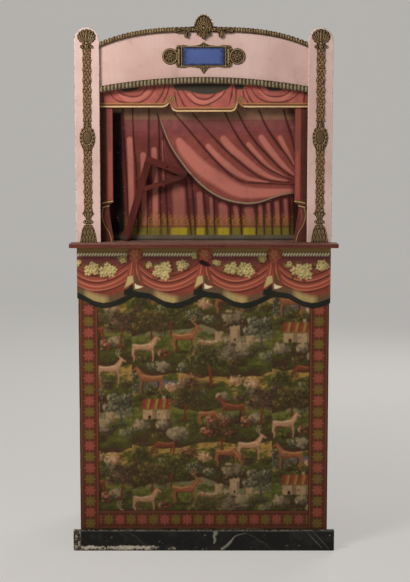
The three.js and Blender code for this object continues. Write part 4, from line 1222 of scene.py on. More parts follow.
# %% The legs
def paint_leg(sheet, *_):
    """A leg, drawn for the left side and mirrored for the right: a lit stripe, a cord, a tail."""
    def mine(*points):
        return mirrored(points, 1 if sheet.x[0] < 0 else -1)

    part, gx, gz = sheet.whole()
    # Mottled, and darker past 330 mm out: painted shade at the outer edge, beside the pilaster.
    dark = 0.7 + 0.3 * clouds(gx, gz, 20, 6) + 0.2 * np.clip((330 - np.abs(gx)) / 20, -1, 0.5)
    sheet.ink[part] = tinted(rgb(100, 54, 45), dark)
    sheet.stroke(mine((-311, 1570), (-311, 1400), (-311, 1186)), 10.5, ink=rgb(166, 84, 72), soft=0.2)
    lit(sheet, mine((-310, 1340), (-310, 1200)), 5.5, ink=rgb(182, 98, 84), strength=0.7)
    for z, half in ((1500, 62), (1390, 34)):
        sheet.stroke(mine((-311, z + half), (-311, z - half)), 9, ink=rgb(112, 80, 68), strength=0.5,
                     soft=0.8)
    for x in (-333, -322, -301):
        fold(sheet, mine((x, 1560), (x + 0.5, 1380), (x + 1, 1188)), 1.2, strength=0.8)
    sheet.fill(mine((-304, 1160), (-328, 1156), (-335, 1128), (-326, 1098), (-310, 1070),
                    (-301, 1040), (-296, 1040), (-296, 1160)), rgb(132, 68, 58), soft=2, smooth=True)
    lit(sheet, mine((-322, 1150), (-324, 1124), (-312, 1090)), 3, 4, 1, ink=rgb(176, 98, 82))
    for k in (0, 1, 2):
        fold(sheet, mine((-308 - 6 * k, 1156), (-312 - 5 * k, 1120), (-304 - 1.5 * k, 1070)), 1.2)
    braid(sheet, mine((-331, 1162), (-337, 1146), (-337, 1126), (-329, 1100), (-314, 1074),
                      (-306, 1044)), 2.0)
    for z in (1180, 1166):
        braid(sheet, mine((-336, z - 6), (-320, z - 2), (-296, z + 1)), 2.8)


for side, end in (("left", 0), ("right", 1)):
    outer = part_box(f"{side}_drapery_leg")[end].x / MM
    painted(f"{side}_leg_cloth", f"{side}_drapery_leg", paint_leg, outer, sideways=True)

# %% [markdown]
# ## The roll-up curtain
# The curtain is canvas between a roller and a batten, painted as a drape that is drawn aside
# over pleated cloth, with a slight ripple. The painted fringe lies over the batten, and so it is a
# strip of its own that rides with it.

# %% The back cloth of the curtain
CANVAS_STEP = 2.2
FOOT_LEFT, FOOT_RIGHT = -262, 330  # how far the olive foot of the cloth reaches
BACK_SHORT = [(-62, -42, 1253), (-40, -27, 1229), (-3, 12, 1214), (33, 37, 1195), (86, 92, 1178),
              (120, 127, 1170), (174, 177, 1172), (200, 203, 1172), (228, 230, 1178),
              (258, 260, 1184), (286, 290, 1192), (300, 305, 1200)]
BACK_LONG = [
    [(-269, 1490), (-265, 1370), (-258, 1250), (-251, 1070)],
    [(-237, 1490), (-233, 1370), (-226, 1292), (-221, 1150), (-222, 1070)],
    [(-182, 1490), (-183, 1419), (-184, 1330), (-188, 1200), (-190, 1070)],
    [(-151, 1480), (-148, 1370), (-146, 1240), (-143, 1070)],
    [(-136, 1400), (-130, 1273), (-124, 1160), (-120, 1070)],
]
BACK_LIT = [(-247, 12, 1396, 1120), (-202, 12, 1344, 1104), (-166, 11, 1360, 1100),
            (-136, 5, 1385, 1230), (-86, 25, 1240, 1100), (-15, 12, 1212, 1100), (24, 7, 1196, 1100),
            (63, 17, 1180, 1100), (106, 9, 1170, 1100), (150, 18, 1168, 1100), (188, 8, 1172, 1100),
            (215, 6, 1176, 1100), (244, 9, 1180, 1100), (273, 7, 1188, 1100)]
# Above 1446 mm the tones are the pale top band of the cloth, lightened further as painted light against
# the valance's shadow.
BACK_TONES = {1052: rgb(84, 84, 60), 1110: rgb(112, 70, 46), 1140: rgb(108, 54, 46),
              1390: rgb(122, 60, 54), 1408: rgb(134, 70, 70), 1446: rgb(144, 86, 80),
              1456: rgb(160, 120, 96), 1600: rgb(164, 124, 104)}


def toned(gz, tones):
    """Colours that change with the height."""
    return np.stack([np.interp(gz, list(tones), [t[k] for t in tones.values()]) for k in range(3)], -1)


def paint_back_cloth(sheet):
    """Pleated cloth whose lit stretches come from BACK_LIT: place, half width, top and foot."""
    part, gx, gz = sheet.whole()
    mottle = 0.8 + 0.26 * clouds(gx, gz, 22, 7) + 0.16 * clouds(gx, gz, 7, 4)
    sheet.ink[part] = tinted(toned(gz, BACK_TONES), mottle)
    for x, half, top, foot in BACK_LIT:
        ink = CLOTH_LIT * (0.86 if top > 1300 else 0.62)
        lit(sheet, [(x, top - half), (x + 3, (top + foot) / 2), (x + 4, foot)], half, ink=ink)


def paint_cloth_foot(sheet):
    """An olive band along the foot, with bright panels, seams and a row of scrolls."""
    def across(z):
        return [(FOOT_LEFT, z), (FOOT_RIGHT, z)]

    sheet.stroke(across(1094), 34, ink=rgb(138, 104, 42), strength=0.45, soft=0.9)
    sheet.stroke(across(1077), 14, ink=rgb(120, 108, 44), strength=0.9, smooth=False)
    for x, half, top, foot in BACK_LIT:
        bright = rgb(192, 174, 42) if half > 11 and x > -150 else rgb(136, 126, 48)
        half += 3
        left, right = x + 3 - half, x + 3 + half
        box = [(left, 1064), (right, 1064), (right, 1091), (left, 1091)]
        sheet.fill(box, bright, 0.92, 3)
        for seam in np.arange(x + 3, x + half, 16):
            sheet.stroke([(seam, 1067), (seam, 1090)], 1.0, ink=CLOTH_DEEP, strength=0.6)
    for x in np.arange(-236, 302, 19):
        z = 1116 + 3 * math.sin(x)
        curl = [(x - 9, z - 12), (x - 7, z + 3), (x + 3, z + 9), (x + 8, z + 1), (x + 1, z - 3)]
        sheet.stroke(curl, 2.6, 2.0, 1.2, ink=rgb(206, 146, 60), strength=0.9)
        sheet.stroke([(x + 6, z + 24), (x + 1, z + 15), (x + 9, z + 12)], 1.8, ink=rgb(190, 120, 58),
                     strength=0.8)
        sheet.dab(x - 10, z + 15, 3.0, ink=rgb(222, 160, 84), strength=0.8)
    for z, ink in ((1100, rgb(180, 124, 44)), (1095, rgb(112, 28, 24))):
        sheet.stroke(across(z), 1.7, ink=ink, strength=0.85, smooth=False)


def paint_back_folds(sheet):
    """Short folds below the drape and long ones at the left of it."""
    for x0, x1, top in BACK_SHORT:
        fold(sheet, [(x0, top + 14), ((x0 + x1) / 2, 1160), (x1, 1066)], 4.8)
    for points in BACK_LONG:
        fold(sheet, points, 4.4)


print("back cloth with", len(BACK_SHORT) + len(BACK_LONG), "folds")

# %% The drawn drape of the curtain
DRAPE_FOLDS = [
    [(-98, 1470), (-66, 1434), (-18, 1378), (22, 1332), (61, 1292), (95, 1263), (135, 1243),
     (208, 1238), (304, 1233)],
    [(-37, 1470), (7, 1419), (61, 1361), (110, 1317), (159, 1278), (208, 1250), (300, 1240)],
    [(68, 1477), (95, 1424), (129, 1370), (169, 1327), (208, 1292), (252, 1268), (304, 1246)],
    [(112, 1477), (139, 1424), (173, 1375), (218, 1327), (262, 1283), (304, 1256)],
    [(183, 1482), (207, 1429), (242, 1375), (276, 1332), (303, 1292)],
    [(265, 1482), (278, 1438), (293, 1395), (303, 1346)],
]
DRAPE_LIT = [
    ([(-82, 1378), (-60, 1345), (-5, 1288), (58, 1246), (105, 1218), (152, 1207), (223, 1207),
      (292, 1213)], (14, 25, 29, 29, 27, 23, 17, 10)),
    ([(14, 1362), (42, 1330), (78, 1298), (114, 1272), (155, 1253), (215, 1243)],
     (10, 13, 14, 11, 7, 2)),
    ([(66, 1386), (90, 1356), (130, 1322), (176, 1286), (224, 1259), (280, 1246)],
     (14, 16, 15, 12, 7, 2)),
    ([(149, 1368), (184, 1326), (224, 1288), (284, 1254)], (9, 10, 8, 2)),
    ([(192, 1390), (224, 1346), (262, 1302), (300, 1268)], (12, 13, 10, 3)),
    ([(254, 1390), (276, 1346), (299, 1302)], (10, 10, 5)),
]
DRAPE_EDGE = [(-152, 1478), (-140, 1438), (-120, 1385), (-98, 1344), (-67, 1300), (-37, 1263),
              (2, 1226), (46, 1197), (91, 1180), (145, 1172), (189, 1177), (233, 1192),
              (272, 1203), (330, 1210)]
# As on the back cloth, the tones above 1446 mm are lightened as painted light against the valance's
# shadow.
DRAPE_TONES = {1170: rgb(146, 76, 66), 1390: rgb(148, 78, 68), 1410: rgb(142, 76, 76),
               1446: rgb(150, 90, 84), 1456: rgb(168, 126, 100), 1600: rgb(172, 130, 108)}


def paint_drape(sheet):
    """The drape that is drawn aside: its ground, its lit stretches, its folds and its hem."""
    part, level, _ = sheet.outline([*DRAPE_EDGE, (345, 1300), (345, 1600), (-170, 1600)])
    gx, gz = sheet.x[part[1]][None], sheet.z[part[0]][:, None]
    mottle = 0.86 + 0.28 * clouds(gx, gz, 16, 6)
    sheet.cover(part, tinted(toned(gz, DRAPE_TONES), mottle), clamp(level / 2))
    for points, halves in DRAPE_LIT:
        lit(sheet, points, *halves, ink=CLOTH_LIT * 0.92, strength=0.9)
    for points in DRAPE_FOLDS:
        fold(sheet, points, 4.6)
    shade = [(x - 4, z - 9) for x, z in DRAPE_EDGE]
    sheet.stroke(shade, 3, 9, 14, 9, ink=CLOTH_DEEP * 0.4, strength=0.85, soft=0.9)
    sheet.stroke(DRAPE_EDGE, 3.4, 4.6, 4.8, 2.8, ink=BRAID_DARK, strength=0.95, soft=0.4)
    sheet.stroke(DRAPE_EDGE, 1.4, 2.4, 2.7, 1.6, ink=rgb(226, 200, 158), strength=0.95, soft=0.4)


print("drape with", len(DRAPE_FOLDS), "folds")


# %% Age, shade and fringe of the curtain
FLECKS = 1500
CANVAS_FOOT = 1066  # the canvas is cloth above this height and fringe below it


def age_and_shade_curtain(sheet):
    """Two creases, a painted shadow at the left, painted shades at the sides and small flecks."""
    for z, half in ((1446, 1.6), (1408, 1.2)):
        sheet.stroke([(-280, z), (330, z + 2)], half, ink=CLOTH_DEEP, strength=0.5, soft=0.8)
    # Painted shadow that the left leg and pilaster cast on the canvas, then painted shades at both
    # sides.
    dark = [(-312, 1070), (-262, 1070), (-262, 1120), (-268, 1300), (-268, 1478), (-312, 1478)]
    sheet.fill(dark, SHADOW * 0.6, 0.97, 8)
    for points, halves, share in (([(-300, 1440), (-300, 1060)], (46, 40), 0.3),
                                  ([(316, 1220), (316, 1060)], (32, 36), 0.2),
                                  ([(290, 1478), (330, 1400)], (16, 30), 0.4)):
        sheet.dim(sheet.line(points, *halves), share, 0.9)
    rng = np.random.default_rng(9)
    for _ in range(FLECKS):
        x, z, size = rng.uniform(-290, 300), rng.uniform(CANVAS_FOOT, 1470), rng.uniform(1, 4)
        ink = (SHADOW, CLOTH_DEEP, CLOTH_LIT)[rng.integers(3)]
        sheet.dab(x, z, size, ink=ink, strength=rng.uniform(0.05, 0.35), soft=0.8)


def paint_fringe(sheet):
    """The fringe below the canvas, which comes off as a strip of its own."""
    threads = 0.66 + 0.34 * np.sin(sheet.x * 1.5)[None, :, None]
    patches = (0.75 + 0.4 * clouds(sheet.x[None], sheet.z[:, None], 30, 2))[..., None]
    fringe = rgb(134, 126, 104) * threads * patches
    sheet.ink = np.where((sheet.z < CANVAS_FOOT)[:, None, None], fringe, sheet.ink)
    # A painted shadow line under the fringe, and painted shade at its left, below the painted shadow on
    # the canvas.
    sheet.stroke([(-400, 1051), (400, 1051)], 3, ink=SHADOW, strength=0.95, smooth=False)
    sheet.dim(sheet.line([(-300, 1075), (-300, 1040)], 60), 0.4, 0.9)


# %% Hanging the curtain
low, high = box_mm("painted_curtain")
batten_low, batten_high = box_mm("curtain_batten")
FRINGE_FOOT = 1047  # just above the playboard
CANVAS_THICK = 0.9
canvas = Field((low.x, high.x), (FRINGE_FOOT, high.z), CANVAS_STEP)
for paint in (paint_back_cloth, paint_cloth_foot, paint_back_folds, paint_drape, age_and_shade_curtain,
              paint_fringe):
    paint(canvas)
curtain = ruled("curtain_canvas", canvas, net(low.x, high.x, CANVAS_STEP), low.z, high.z,
                round((high.z - low.z) / CANVAS_STEP), low.y, CANVAS_THICK, "stand",
                canvas_paint, canvas_back, replaced=["painted_curtain"],
                ripple=1.6)
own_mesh(curtain)
strip = ruled("curtain_fringe", canvas, net(low.x, high.x, CANVAS_STEP), FRINGE_FOOT,
              batten_high.z + 2, 14, batten_low.y - 0.6, 0.55, "curtain_foot",
              canvas_paint, canvas_back)

# %% [markdown]
# ## Gilt relief
# The shells, strips, medallions, feet, crest and frame are embossed pasteboard, gilded, and
# brown in every hollow. Such stamped relief could be sculpted, but it is a height over a flat
# card, so here it is stamped on a `Field`: leaves, volutes and beads are raised, and veins and
# halos are pressed. The card is then cut along the rim of the node that it replaces. The
# attribute `hollow` says how far a point lies below what is round it, for the dirt in the gilding.

# %% The rim of a relief
def rim_of(node):
    """The rim of a node's front face: its straight stretches, in X and Z."""
    bm = welded(node, whole=False)
    front = min(v.co.y for v in bm.verts) + 0.1 * MM
    rim = [[(v.co.x / MM, v.co.z / MM) for v in e.verts] for e in bm.edges
           if all(v.co.y < front for v in e.verts)
           and sum(f.normal.y < -0.9 for f in e.link_faces) == 1]
    bm.free()
    return np.array(rim)


def onto(rim, points):
    """The nearest place on the rim to each point."""
    a, along = rim[:, 0], rim[:, 1] - rim[:, 0]
    share = ((points[:, None] - a) * along).sum(-1) / (along**2).sum(-1)
    near = a + clamp(share)[..., None] * along
    best = ((points[:, None] - near) ** 2).sum(-1).argmin(1)
    return near[np.arange(len(points)), best]


def hollows(height):
    """0 on what stands out, 1 in what lies deep."""
    mean = height
    for _ in range(12):
        mean = (mean + sum(np.roll(mean, step, axis) for step in (-1, 1) for axis in (0, 1))) / 5
    return clamp(0.5 - (height - mean) / 1.6)


def cells_in(rim, sheet):
    """The cells of a field inside a rim, with no two that meet only at a corner."""
    middle = sheet.x[:-1] + sheet.step / 2, sheet.z[:-1] + sheet.step / 2
    cell = within(rim, middle[0][None], middle[1][:, None])
    for _ in range(3):
        a, b, c, d = cell[:-1, :-1], cell[:-1, 1:], cell[1:, :-1], cell[1:, 1:]
        falling, rising = a & d & ~b & ~c, b & c & ~a & ~d
        cell[:-1, 1:] |= falling
        cell[:-1, :-1] |= rising
    return cell


def closed(mesh):
    """Closes the back of a mesh, turns its faces outwards, and counts what stays open."""
    bm = bmesh.new()
    bm.from_mesh(mesh)
    bmesh.ops.triangle_fill(bm, edges=[e for e in bm.edges if e.is_boundary], use_beauty=True,
                            normal=(0, 1, 0))
    bmesh.ops.recalc_face_normals(bm, faces=bm.faces)
    open_edges = sum(not e.is_manifold for e in bm.edges)
    bm.to_mesh(mesh)
    bm.free()
    return open_edges


# %% Cutting a relief
def relief(node, sheet, material):
    """Cuts a stamped field to a node's outline, as one closed piece."""
    rim = rim_of(node)
    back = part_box(node)[1].y / MM
    cell = cells_in(rim, sheet)
    count = np.zeros((len(sheet.z), len(sheet.x)), int)
    for dj in (0, 1):
        for di in (0, 1):
            count[dj:len(sheet.z) - 1 + dj, di:len(sheet.x) - 1 + di] += cell
    index = np.full(count.shape, -1)
    index[count > 0] = np.arange((count > 0).sum())
    j, i = np.nonzero(count)
    flat = np.stack([sheet.x[i], sheet.z[j]], -1)
    edge = count[j, i] < 4
    flat[edge] = onto(rim, flat[edge])
    grain = 0.3 * clouds(flat[:, 0], flat[:, 1], 2.6, 3)
    height = np.maximum(sheet.read(*flat.T, sheet.height), CARD) + grain
    height[edge] = np.minimum(height[edge], CARD)
    front = np.stack([flat[:, 0], back - height, flat[:, 1]], -1)
    j, i = np.nonzero(cell)
    quads = np.stack([index[j, i], index[j, i + 1], index[j + 1, i + 1], index[j + 1, i]], -1)
    sides = []
    for dj, di, a, b in ((-1, 0, (0, 0), (0, 1)), (0, 1, (0, 1), (1, 1)),
                         (1, 0, (1, 1), (1, 0)), (0, -1, (1, 0), (0, 0))):
        j, i = np.nonzero(cell & ~np.roll(cell, (-dj, -di), (0, 1)))
        sides.append(np.stack([index[j + a[0], i + a[1]], index[j + b[0], i + b[1]]], -1))
    sides = np.vstack(sides)
    behind = np.full(len(front), -1)
    behind[edge] = len(front) + np.arange(edge.sum())
    skirt = np.stack([sides[:, 1], sides[:, 0], behind[sides[:, 0]], behind[sides[:, 1]]], -1)
    rear = front[edge] * (1, 0, 1) + (0, back, 0)
    mesh = bpy.data.meshes.new(node)
    mesh.from_pydata(np.vstack([front, rear]) * MM, [], quads.tolist() + skirt.tolist())
    deep = np.append(sheet.read(*flat.T, hollows(sheet.height)), np.full(len(rear), 0.7))
    mesh.attributes.new("hollow", "FLOAT", "POINT").data.foreach_set("value", deep)
    open_edges = closed(mesh)
    mesh.shade_smooth()
    mesh.set_sharp_from_angle(angle=math.radians(60))
    mesh.materials.append(material)
    print(node, len(quads), "cells,", open_edges, "open edges")
    return new_piece(node + "_relief", mesh, body_of[node], [node])


# %% The gilding
def gilding(name, lit, body, red, dark):
    """Old gilding: lit where it stands out, brown in the hollows, rubbed red in patches."""
    finish = Finish(name, rough=0.5, metal=0.25)
    deep = finish.attribute("hollow", "Fac")
    fine = finish.noise(700, 3)
    tone = finish.over(body, red, finish.noise(30, 5, bend=0.5), 0.42, 0.62)
    worn = finish.maths("ADD", deep, finish.between(fine, 0.3, 0.7, -0.12, 0.12))
    colour = finish.over(tone, lit, worn, 0.48, 0.16)
    colour = finish.over(colour, dark, worn, 0.5, 0.72)
    rough = finish.between(worn, 0.2, 0.75, 0.4, 0.85)
    return finish.done(colour, fine, 0.12, rough)


GILT_DARK = rgb(40, 29, 19)
gilt = gilding("gilt_card", rgb(154, 131, 92), rgb(88, 72, 49), rgb(96, 68, 48), GILT_DARK)
gilt_dull = gilding("gilt_dull", rgb(156, 126, 90), rgb(134, 104, 72), rgb(132, 92, 64),
                    GILT_DARK * 2.4)
print("gilding ready")


# %% Stamps: leaf, volute, bead and ring
def leaf(sheet, x, z, long, wide, way, rise=2.6, bend=0.0):
    """A leaf that grows from a point in one direction, in degrees, over what is behind it."""
    u, v = around(0, 0, math.radians(way), 1, 1)
    spine = [(x, z), (x + long * u / 2 - bend * v, z + long * v / 2 + bend * u),
             (x + long * u, z + long * v)]
    sheet.press(sheet.line(spine, 0.8 * wide, 1.5 * wide, 0.9 * wide), rise)
    sheet.emboss(sheet.line(spine, 0.45 * wide, wide, 0.85 * wide, 0.2 * wide), rise)
    sheet.press(sheet.line(spine, 0.24 * wide), rise * 0.5)


def volute(sheet, x, z, size, start, turns, rise=3.0):
    """A scroll that winds inwards from a starting angle in degrees."""
    share = np.linspace(0, 1, 18)
    angle, radius = math.radians(start) + 2 * math.pi * turns * share, size * (1 - 0.75 * share)
    points = np.stack([x + radius * np.cos(angle), z + radius * np.sin(angle)], -1)
    sheet.press(sheet.spot(x, z, size * 1.25), rise)
    sheet.emboss(sheet.line(points, size * 0.27, size * 0.15, smooth=False), rise)
    sheet.emboss(sheet.spot(x, z, size * 0.24), rise)


def bead(sheet, x, z, wide, tall=None, rise=3.0):
    tall = tall or wide
    sheet.press(sheet.spot(x, z, wide * 1.4, tall * 1.4), rise)
    sheet.emboss(sheet.spot(x, z, wide, tall), rise)


def ring(sheet, x, z, wide, tall, half, rise=2.6):
    angle = np.linspace(0, 2 * math.pi, 33)
    points = np.stack([x + wide * np.cos(angle), z + tall * np.sin(angle)], -1)
    sheet.emboss(sheet.line(points, half, smooth=False), rise)


STAMP_STEP = 0.9


def stamped(node, stamp, metal):
    """Stamps a card of the size of a node, and cuts it to the node's rim."""
    low, high = box_mm(node)
    card = Field((low.x, high.x), (low.z, high.z), STAMP_STEP)
    card.height += CARD
    stamp(card, (low.x + high.x) / 2, low.z, high.z)
    relief(node, card, metal)


# %% Stamping the ornaments of a pilaster
FAN = (0, 8, 1, 7, 2, 6, 3, 5, 4)  # the leaves of a fan, from its sides to its middle


def stamp_shell(sheet, x, low, high):
    """Leaves that fan out from a hinge between two volutes."""
    for k in FAN:
        u, v = around(0, 22, math.radians(-12 + 204 * k / 8), 27, 22)
        leaf(sheet, x, low + 19, math.hypot(u, v), 5.4, math.degrees(math.atan2(v, u)), 3.0)
        bead(sheet, x + 0.8 * u, low + 19 + 0.84 * v, 2.3, rise=3.4)
    leaf(sheet, x, low + 16, 15, 6, -90, 3.2)
    for side in (-1, 1):
        volute(sheet, x + side * 15.5, low + 8.5, 6.8, 90, -side * 1.2)
    bead(sheet, x, low + 19, 5, rise=3.4)


def stamp_strip(sheet, x, low, high):
    """Small leaves that overlap like scales, row by row from the top."""
    rng = np.random.default_rng(int(high))
    for row, z in enumerate(np.arange(high - 14, low - 8, -9.5)):
        for u in (-9, 9, 0) if row % 2 else (-4.5, 4.5):
            leaf(sheet, x + u, z + rng.uniform(-1.5, 1.5), rng.uniform(14, 18), rng.uniform(4.4, 5.6),
                 90 - 2 * u + rng.uniform(-16, 16), 2.7)


def stamp_medallion(sheet, x, low, high):
    """An oval boss in a wreath, with two volutes and a leaf above."""
    centre = low + 44
    for way in range(-165, 196, 24):
        leaf(sheet, *around(x, centre, math.radians(way), 13, 22), 13, 4, way, 2.6)
    leaf(sheet, x, low + 74, 20, 4.6, 90, 3)
    for side in (-1, 1):
        volute(sheet, x + side * 16.5, low + 71, 6, 200 if side > 0 else -20, -side * 1.2)
        leaf(sheet, x + side * 4, low + 20, 17, 4, -90 + side * 14, 2.8)
    leaf(sheet, x, low + 20, 19, 4.6, -90, 3.2)
    sheet.press(sheet.spot(x, centre, 19, 27), 3)
    ring(sheet, x, centre, 16.5, 24.5, 1.5, 2.8)
    sheet.emboss(sheet.spot(x, centre, 14, 21.5), 3.1)
    for u in np.arange(-12, 13, 4):
        for v in np.arange(-18, 19, 4):
            if (u / 13) ** 2 + (v / 20) ** 2 < 0.9:
                sheet.press(sheet.spot(x + u + v % 8 / 2 - 1, centre + v, 1.5), 0.7)


def stamp_foot(sheet, x, low, high):
    """A bell of leaves in three rows, then a collar, a knop of beads and a leaf cup."""
    for way in (146, 34, 118, 62, 90):
        leaf(sheet, x, low + 76, 25, 4.6, way, 2.9)
    for z, count, gap in ((40, 4, 9), (20, 5, 10), (1, 6, 9)):
        for k in sorted(range(count), key=lambda k: -abs(k - (count - 1) / 2)):
            u = (k - (count - 1) / 2) * gap
            leaf(sheet, x + u, low + z, 24, gap * 0.52, 90 - u * 0.7, 2.8)
    for u in (-12, 12, -6, 6, 0):
        bead(sheet, x + u, low + 67, 3.0, 3.6, rise=3)
    for z, wide in ((60.5, 14), (74, 10)):
        collar = [(x - wide, low + z), (x, low + z - 1), (x + wide, low + z)]
        sheet.press(sheet.line(collar, 3.4), 2)
        sheet.emboss(sheet.line(collar, 2.1), 3.2)


for side, _ in SIDES:
    for kind, stamp, metal in (("shell", stamp_shell, gilt), ("upper_strip", stamp_strip, gilt_dull),
                               ("medallion", stamp_medallion, gilt),
                               ("lower_strip", stamp_strip, gilt_dull), ("foot", stamp_foot, gilt)):
        stamped(f"{side}_pilaster_{kind}", stamp, metal)

# %% Stamping the crest
def stamp_crest(sheet, x, low, high):
    """A hooded shell between two leafy arms, with a pendant of leaves."""
    hinge = low + 34
    for side in (-1, 1):
        way = 0 if side > 0 else 180
        stem = [(x + side * 30, hinge - 1), (x + side * 58, low + 34), (x + side * 88, low + 38)]
        sheet.emboss(sheet.line(stem, 5, 3.4, 2), 5.2)
        for u, z, long, lean in ((42, 36, 20, 22), (58, 35, 20, 16), (74, 36, 16, 14),
                                 (40, 32, 17, -26), (76, 31, 14, -22)):
            leaf(sheet, x + side * u, low + z, long, 3.2, way + side * lean, 4.4, side * 1.5)
        leaf(sheet, x + side * 60, low + 31, 26, 5, -90 - side * 14, 5.2, side * 2)
        leaf(sheet, x + side * 64, low + 28, 13, 3.2, -90 + side * 20, 4)
        volute(sheet, x + side * 90, low + 31.5, 7, 100, -side * 1.4, 5)
        leaf(sheet, x + side * 3, low + 22, 19, 4.6, -90 + side * 62, 4.4)
        leaf(sheet, x + side * 2, low + 18, 14, 3.4, -90 + side * 28, 4.2)
    leaf(sheet, x, low + 24, 22, 5, -90, 5)
    for k in FAN:
        way = 14 + 152 * (k + 0.5) / 9
        u, v = around(0, 0, math.radians(way), 1, 1)
        leaf(sheet, x, hinge + 3, 33 + 12 * v, 5, way, 4.2)
        bead(sheet, x + 20 * u, hinge + 3 + 27 * v, 2.6, 3.4, rise=5)
    hood = [around(x, hinge, a, 31, 46) for a in np.linspace(0.35, 2.8, 20)]
    sheet.press(sheet.line([(u * 0.9 + x * 0.1, v - 4) for u, v in hood], 2.2), 3)
    sheet.emboss(sheet.line(hood, 2.4, 3.4, 2.4), 5.8)
    for side in (-1, 1):
        volute(sheet, x + side * 25, hinge - 2, 8, 90, side * 1.3, 5)
        volute(sheet, x + side * 10, hinge - 8, 5.4, 90, -side * 1.2, 4.6)
    sheet.press(sheet.spot(x, hinge + 4, 12, 14), 4)
    ring(sheet, x, hinge + 4, 8.5, 11, 1.9, 4.8)
    bead(sheet, x, hinge + 4, 4.2, 6, rise=5.4)


# %% Stamping the frame of the plate
def stamp_frame(sheet, x, low, high):
    """A moulded frame with scrolled ears and side rolls, a rosette at each end."""
    z = sum(c.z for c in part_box("cartouche_plate")) / 2 / MM
    inner = [(x + u * 72, z + v * 31.5) for u, v in ((-1, -1), (1, -1), (1, 1), (-1, 1), (-1, -1))]
    for up in (-1, 1):
        for side in (-1, 1):
            way = 0 if side > 0 else 180
            for u in (20, 34, 48, 60):
                leaf(sheet, x + side * u, z + up * 33.5, 15, 2.7, way + side * up * 10, 3.0)
            leaf(sheet, x + side * 66, z + up * 31, 20, 4.6, way + side * up * 12, 3.2)
            volute(sheet, x + side * 84, z + up * 27, 7.4, -up * 90, side * up * 1.2, 3.6)
            leaf(sheet, x + side * 4, z + up * 34, 17, 3.6, up * (90 - side * 48), 3.4)
    for side in (-1, 1):
        roll = [(x + side * 80.5, z - 21), (x + side * 82.5, z), (x + side * 80.5, z + 21)]
        sheet.press(sheet.line(roll, 8), 3)
        sheet.emboss(sheet.line(roll, 4, 5.6, 4), 4.2)
        for v in (-15, -5, 5, 15):
            sheet.press(sheet.line([(x + side * 76, z + v), (x + side * 88, z + v)], 0.9,
                                   smooth=False), 1.2)
        centre = x + side * 109.5
        sheet.press(sheet.spot(centre, z, 25), 3)
        ring(sheet, centre, z, 22.5, 22.5, 2.4, 3.6)
        ring(sheet, centre, z, 16.6, 16.6, 0.9, 2.2)
        for k in range(8):
            leaf(sheet, centre, z, 15, 3.6, 22.5 + 45 * k, 2.8)
        for k in range(8):
            leaf(sheet, centre, z, 11, 2.8, 45 * k, 3.4)
        bead(sheet, centre, z, 4, rise=4.2)
    sheet.emboss(sheet.line(inner, 1.9, smooth=False), 3.0)
    for way in (150, 30, 122, 58, 90):
        leaf(sheet, x, z + 33, 13.5, 3.4, way, 3.6)
    for way in (-148, -32, -120, -60, -90):
        leaf(sheet, x, z - 32, 22 if way == -90 else 16, 4, way, 3.6)
    for side in (-1, 1):
        volute(sheet, x + side * 17, z - 36, 5.2, 90, side * 1.1, 3.6)
    bead(sheet, x, z + 33, 4, rise=4.2)
    bead(sheet, x, z - 34, 4.4, rise=4.2)


stamped("crest", stamp_crest, gilt)
stamped("cartouche_frame", stamp_frame, gilt)

# %% [markdown]
# ## The plate
# The frame holds a small plate, painted an even blue. It is one board, so the node itself keeps
# its place, and the finish alone makes it darker towards the rim.

# %% The plate
def plate_paint():
    finish = Finish("plate_blue", rough=0.6)
    low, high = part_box("cartouche_plate")
    u = finish.maths("ABSOLUTE", finish.maths("DIVIDE", finish.axis("X"), high.x))
    v = finish.maths("SUBTRACT", finish.axis("Z"), (low.z + high.z) / 2)
    v = finish.maths("ABSOLUTE", finish.maths("DIVIDE", v, (high.z - low.z) / 2))
    patch = finish.noise(8, 2)
    colour = finish.over(rgb(86, 106, 166), rgb(74, 92, 148), patch, 0.3, 0.7)
    # Darker towards the rim, broken by noise.
    rim_darkening = finish.between(finish.noise(90, 3), 0.3, 0.7, -0.08, 0.08)
    rim_darkening = finish.maths("ADD", finish.maths("MAXIMUM", u, v), rim_darkening)
    return finish.done(finish.over(colour, rgb(36, 42, 62), rim_darkening, 0.72, 0.96, 0.9), patch, 0.1)


def dress(node, material):
    """Gives a node that keeps its own shape a finish."""
    for place in nodes[node].material_slots:
        place.material = material


dress("cartouche_plate", plate_paint())
print("relief and plate done")

# %% [markdown]
# ## The marbled plinth
# The plinth is a board with a separate block at its left end, painted as dark marble: a
# near-black ground, cloudy grey patches and pale veins. Both get a marble finish from noise. The
# few large veins in front, and the strip near the floor where the paint is scrubbed off to a
# cream undercoat, have places of their own, so they are drawn on a skin of paint.

# %% The marble finish
BLACK_GREEN, STONE_GREY, VEIN = rgb(21, 21, 19), rgb(44, 43, 38), rgb(146, 142, 126)
UNDERCOAT = rgb(224, 212, 190)


def marble_paint(name, ground, patch, grit=300, rare=0.69):
    finish = Finish(name, rough=0.45)
    cloud = finish.noise(9, 6, bend=1.2)
    colour = finish.over(ground, patch, cloud, 0.45, 0.72)
    for scale, bend, width, strength in ((4.5, 2.2, 0.011, 0.55), (13, 1.6, 0.013, 0.3)):
        wander = finish.noise(scale, 4, (1, 1, 1.5), bend)
        away = finish.maths("ABSOLUTE", finish.maths("SUBTRACT", wander, 0.5))
        colour = finish.over(colour, VEIN, away, width, 0, strength)
    worn = finish.maths("MULTIPLY", finish.attribute("edge", "Fac"), finish.noise(120, 5))
    colour = finish.over(colour, rgb(132, 130, 112), worn, 0.42, 0.6, 0.75)
    colour = finish.over(colour, UNDERCOAT * 0.7, finish.noise(grit, 3), rare, rare + 0.06, 0.6)
    return finish.done(colour, finish.noise(220, 4), 0.15, finish.between(cloud, 0.3, 0.7, 0.35, 0.6))


marble = marble_paint("marbled_paint", BLACK_GREEN, STONE_GREY)
board("plinth_front_board", [marble], 1.6)
worn_marble = marble_paint("worn_marbling", rgb(34, 31, 25), rgb(78, 70, 56), 95, 0.5)
board("plinth_end_block", [worn_marble], 1.6)


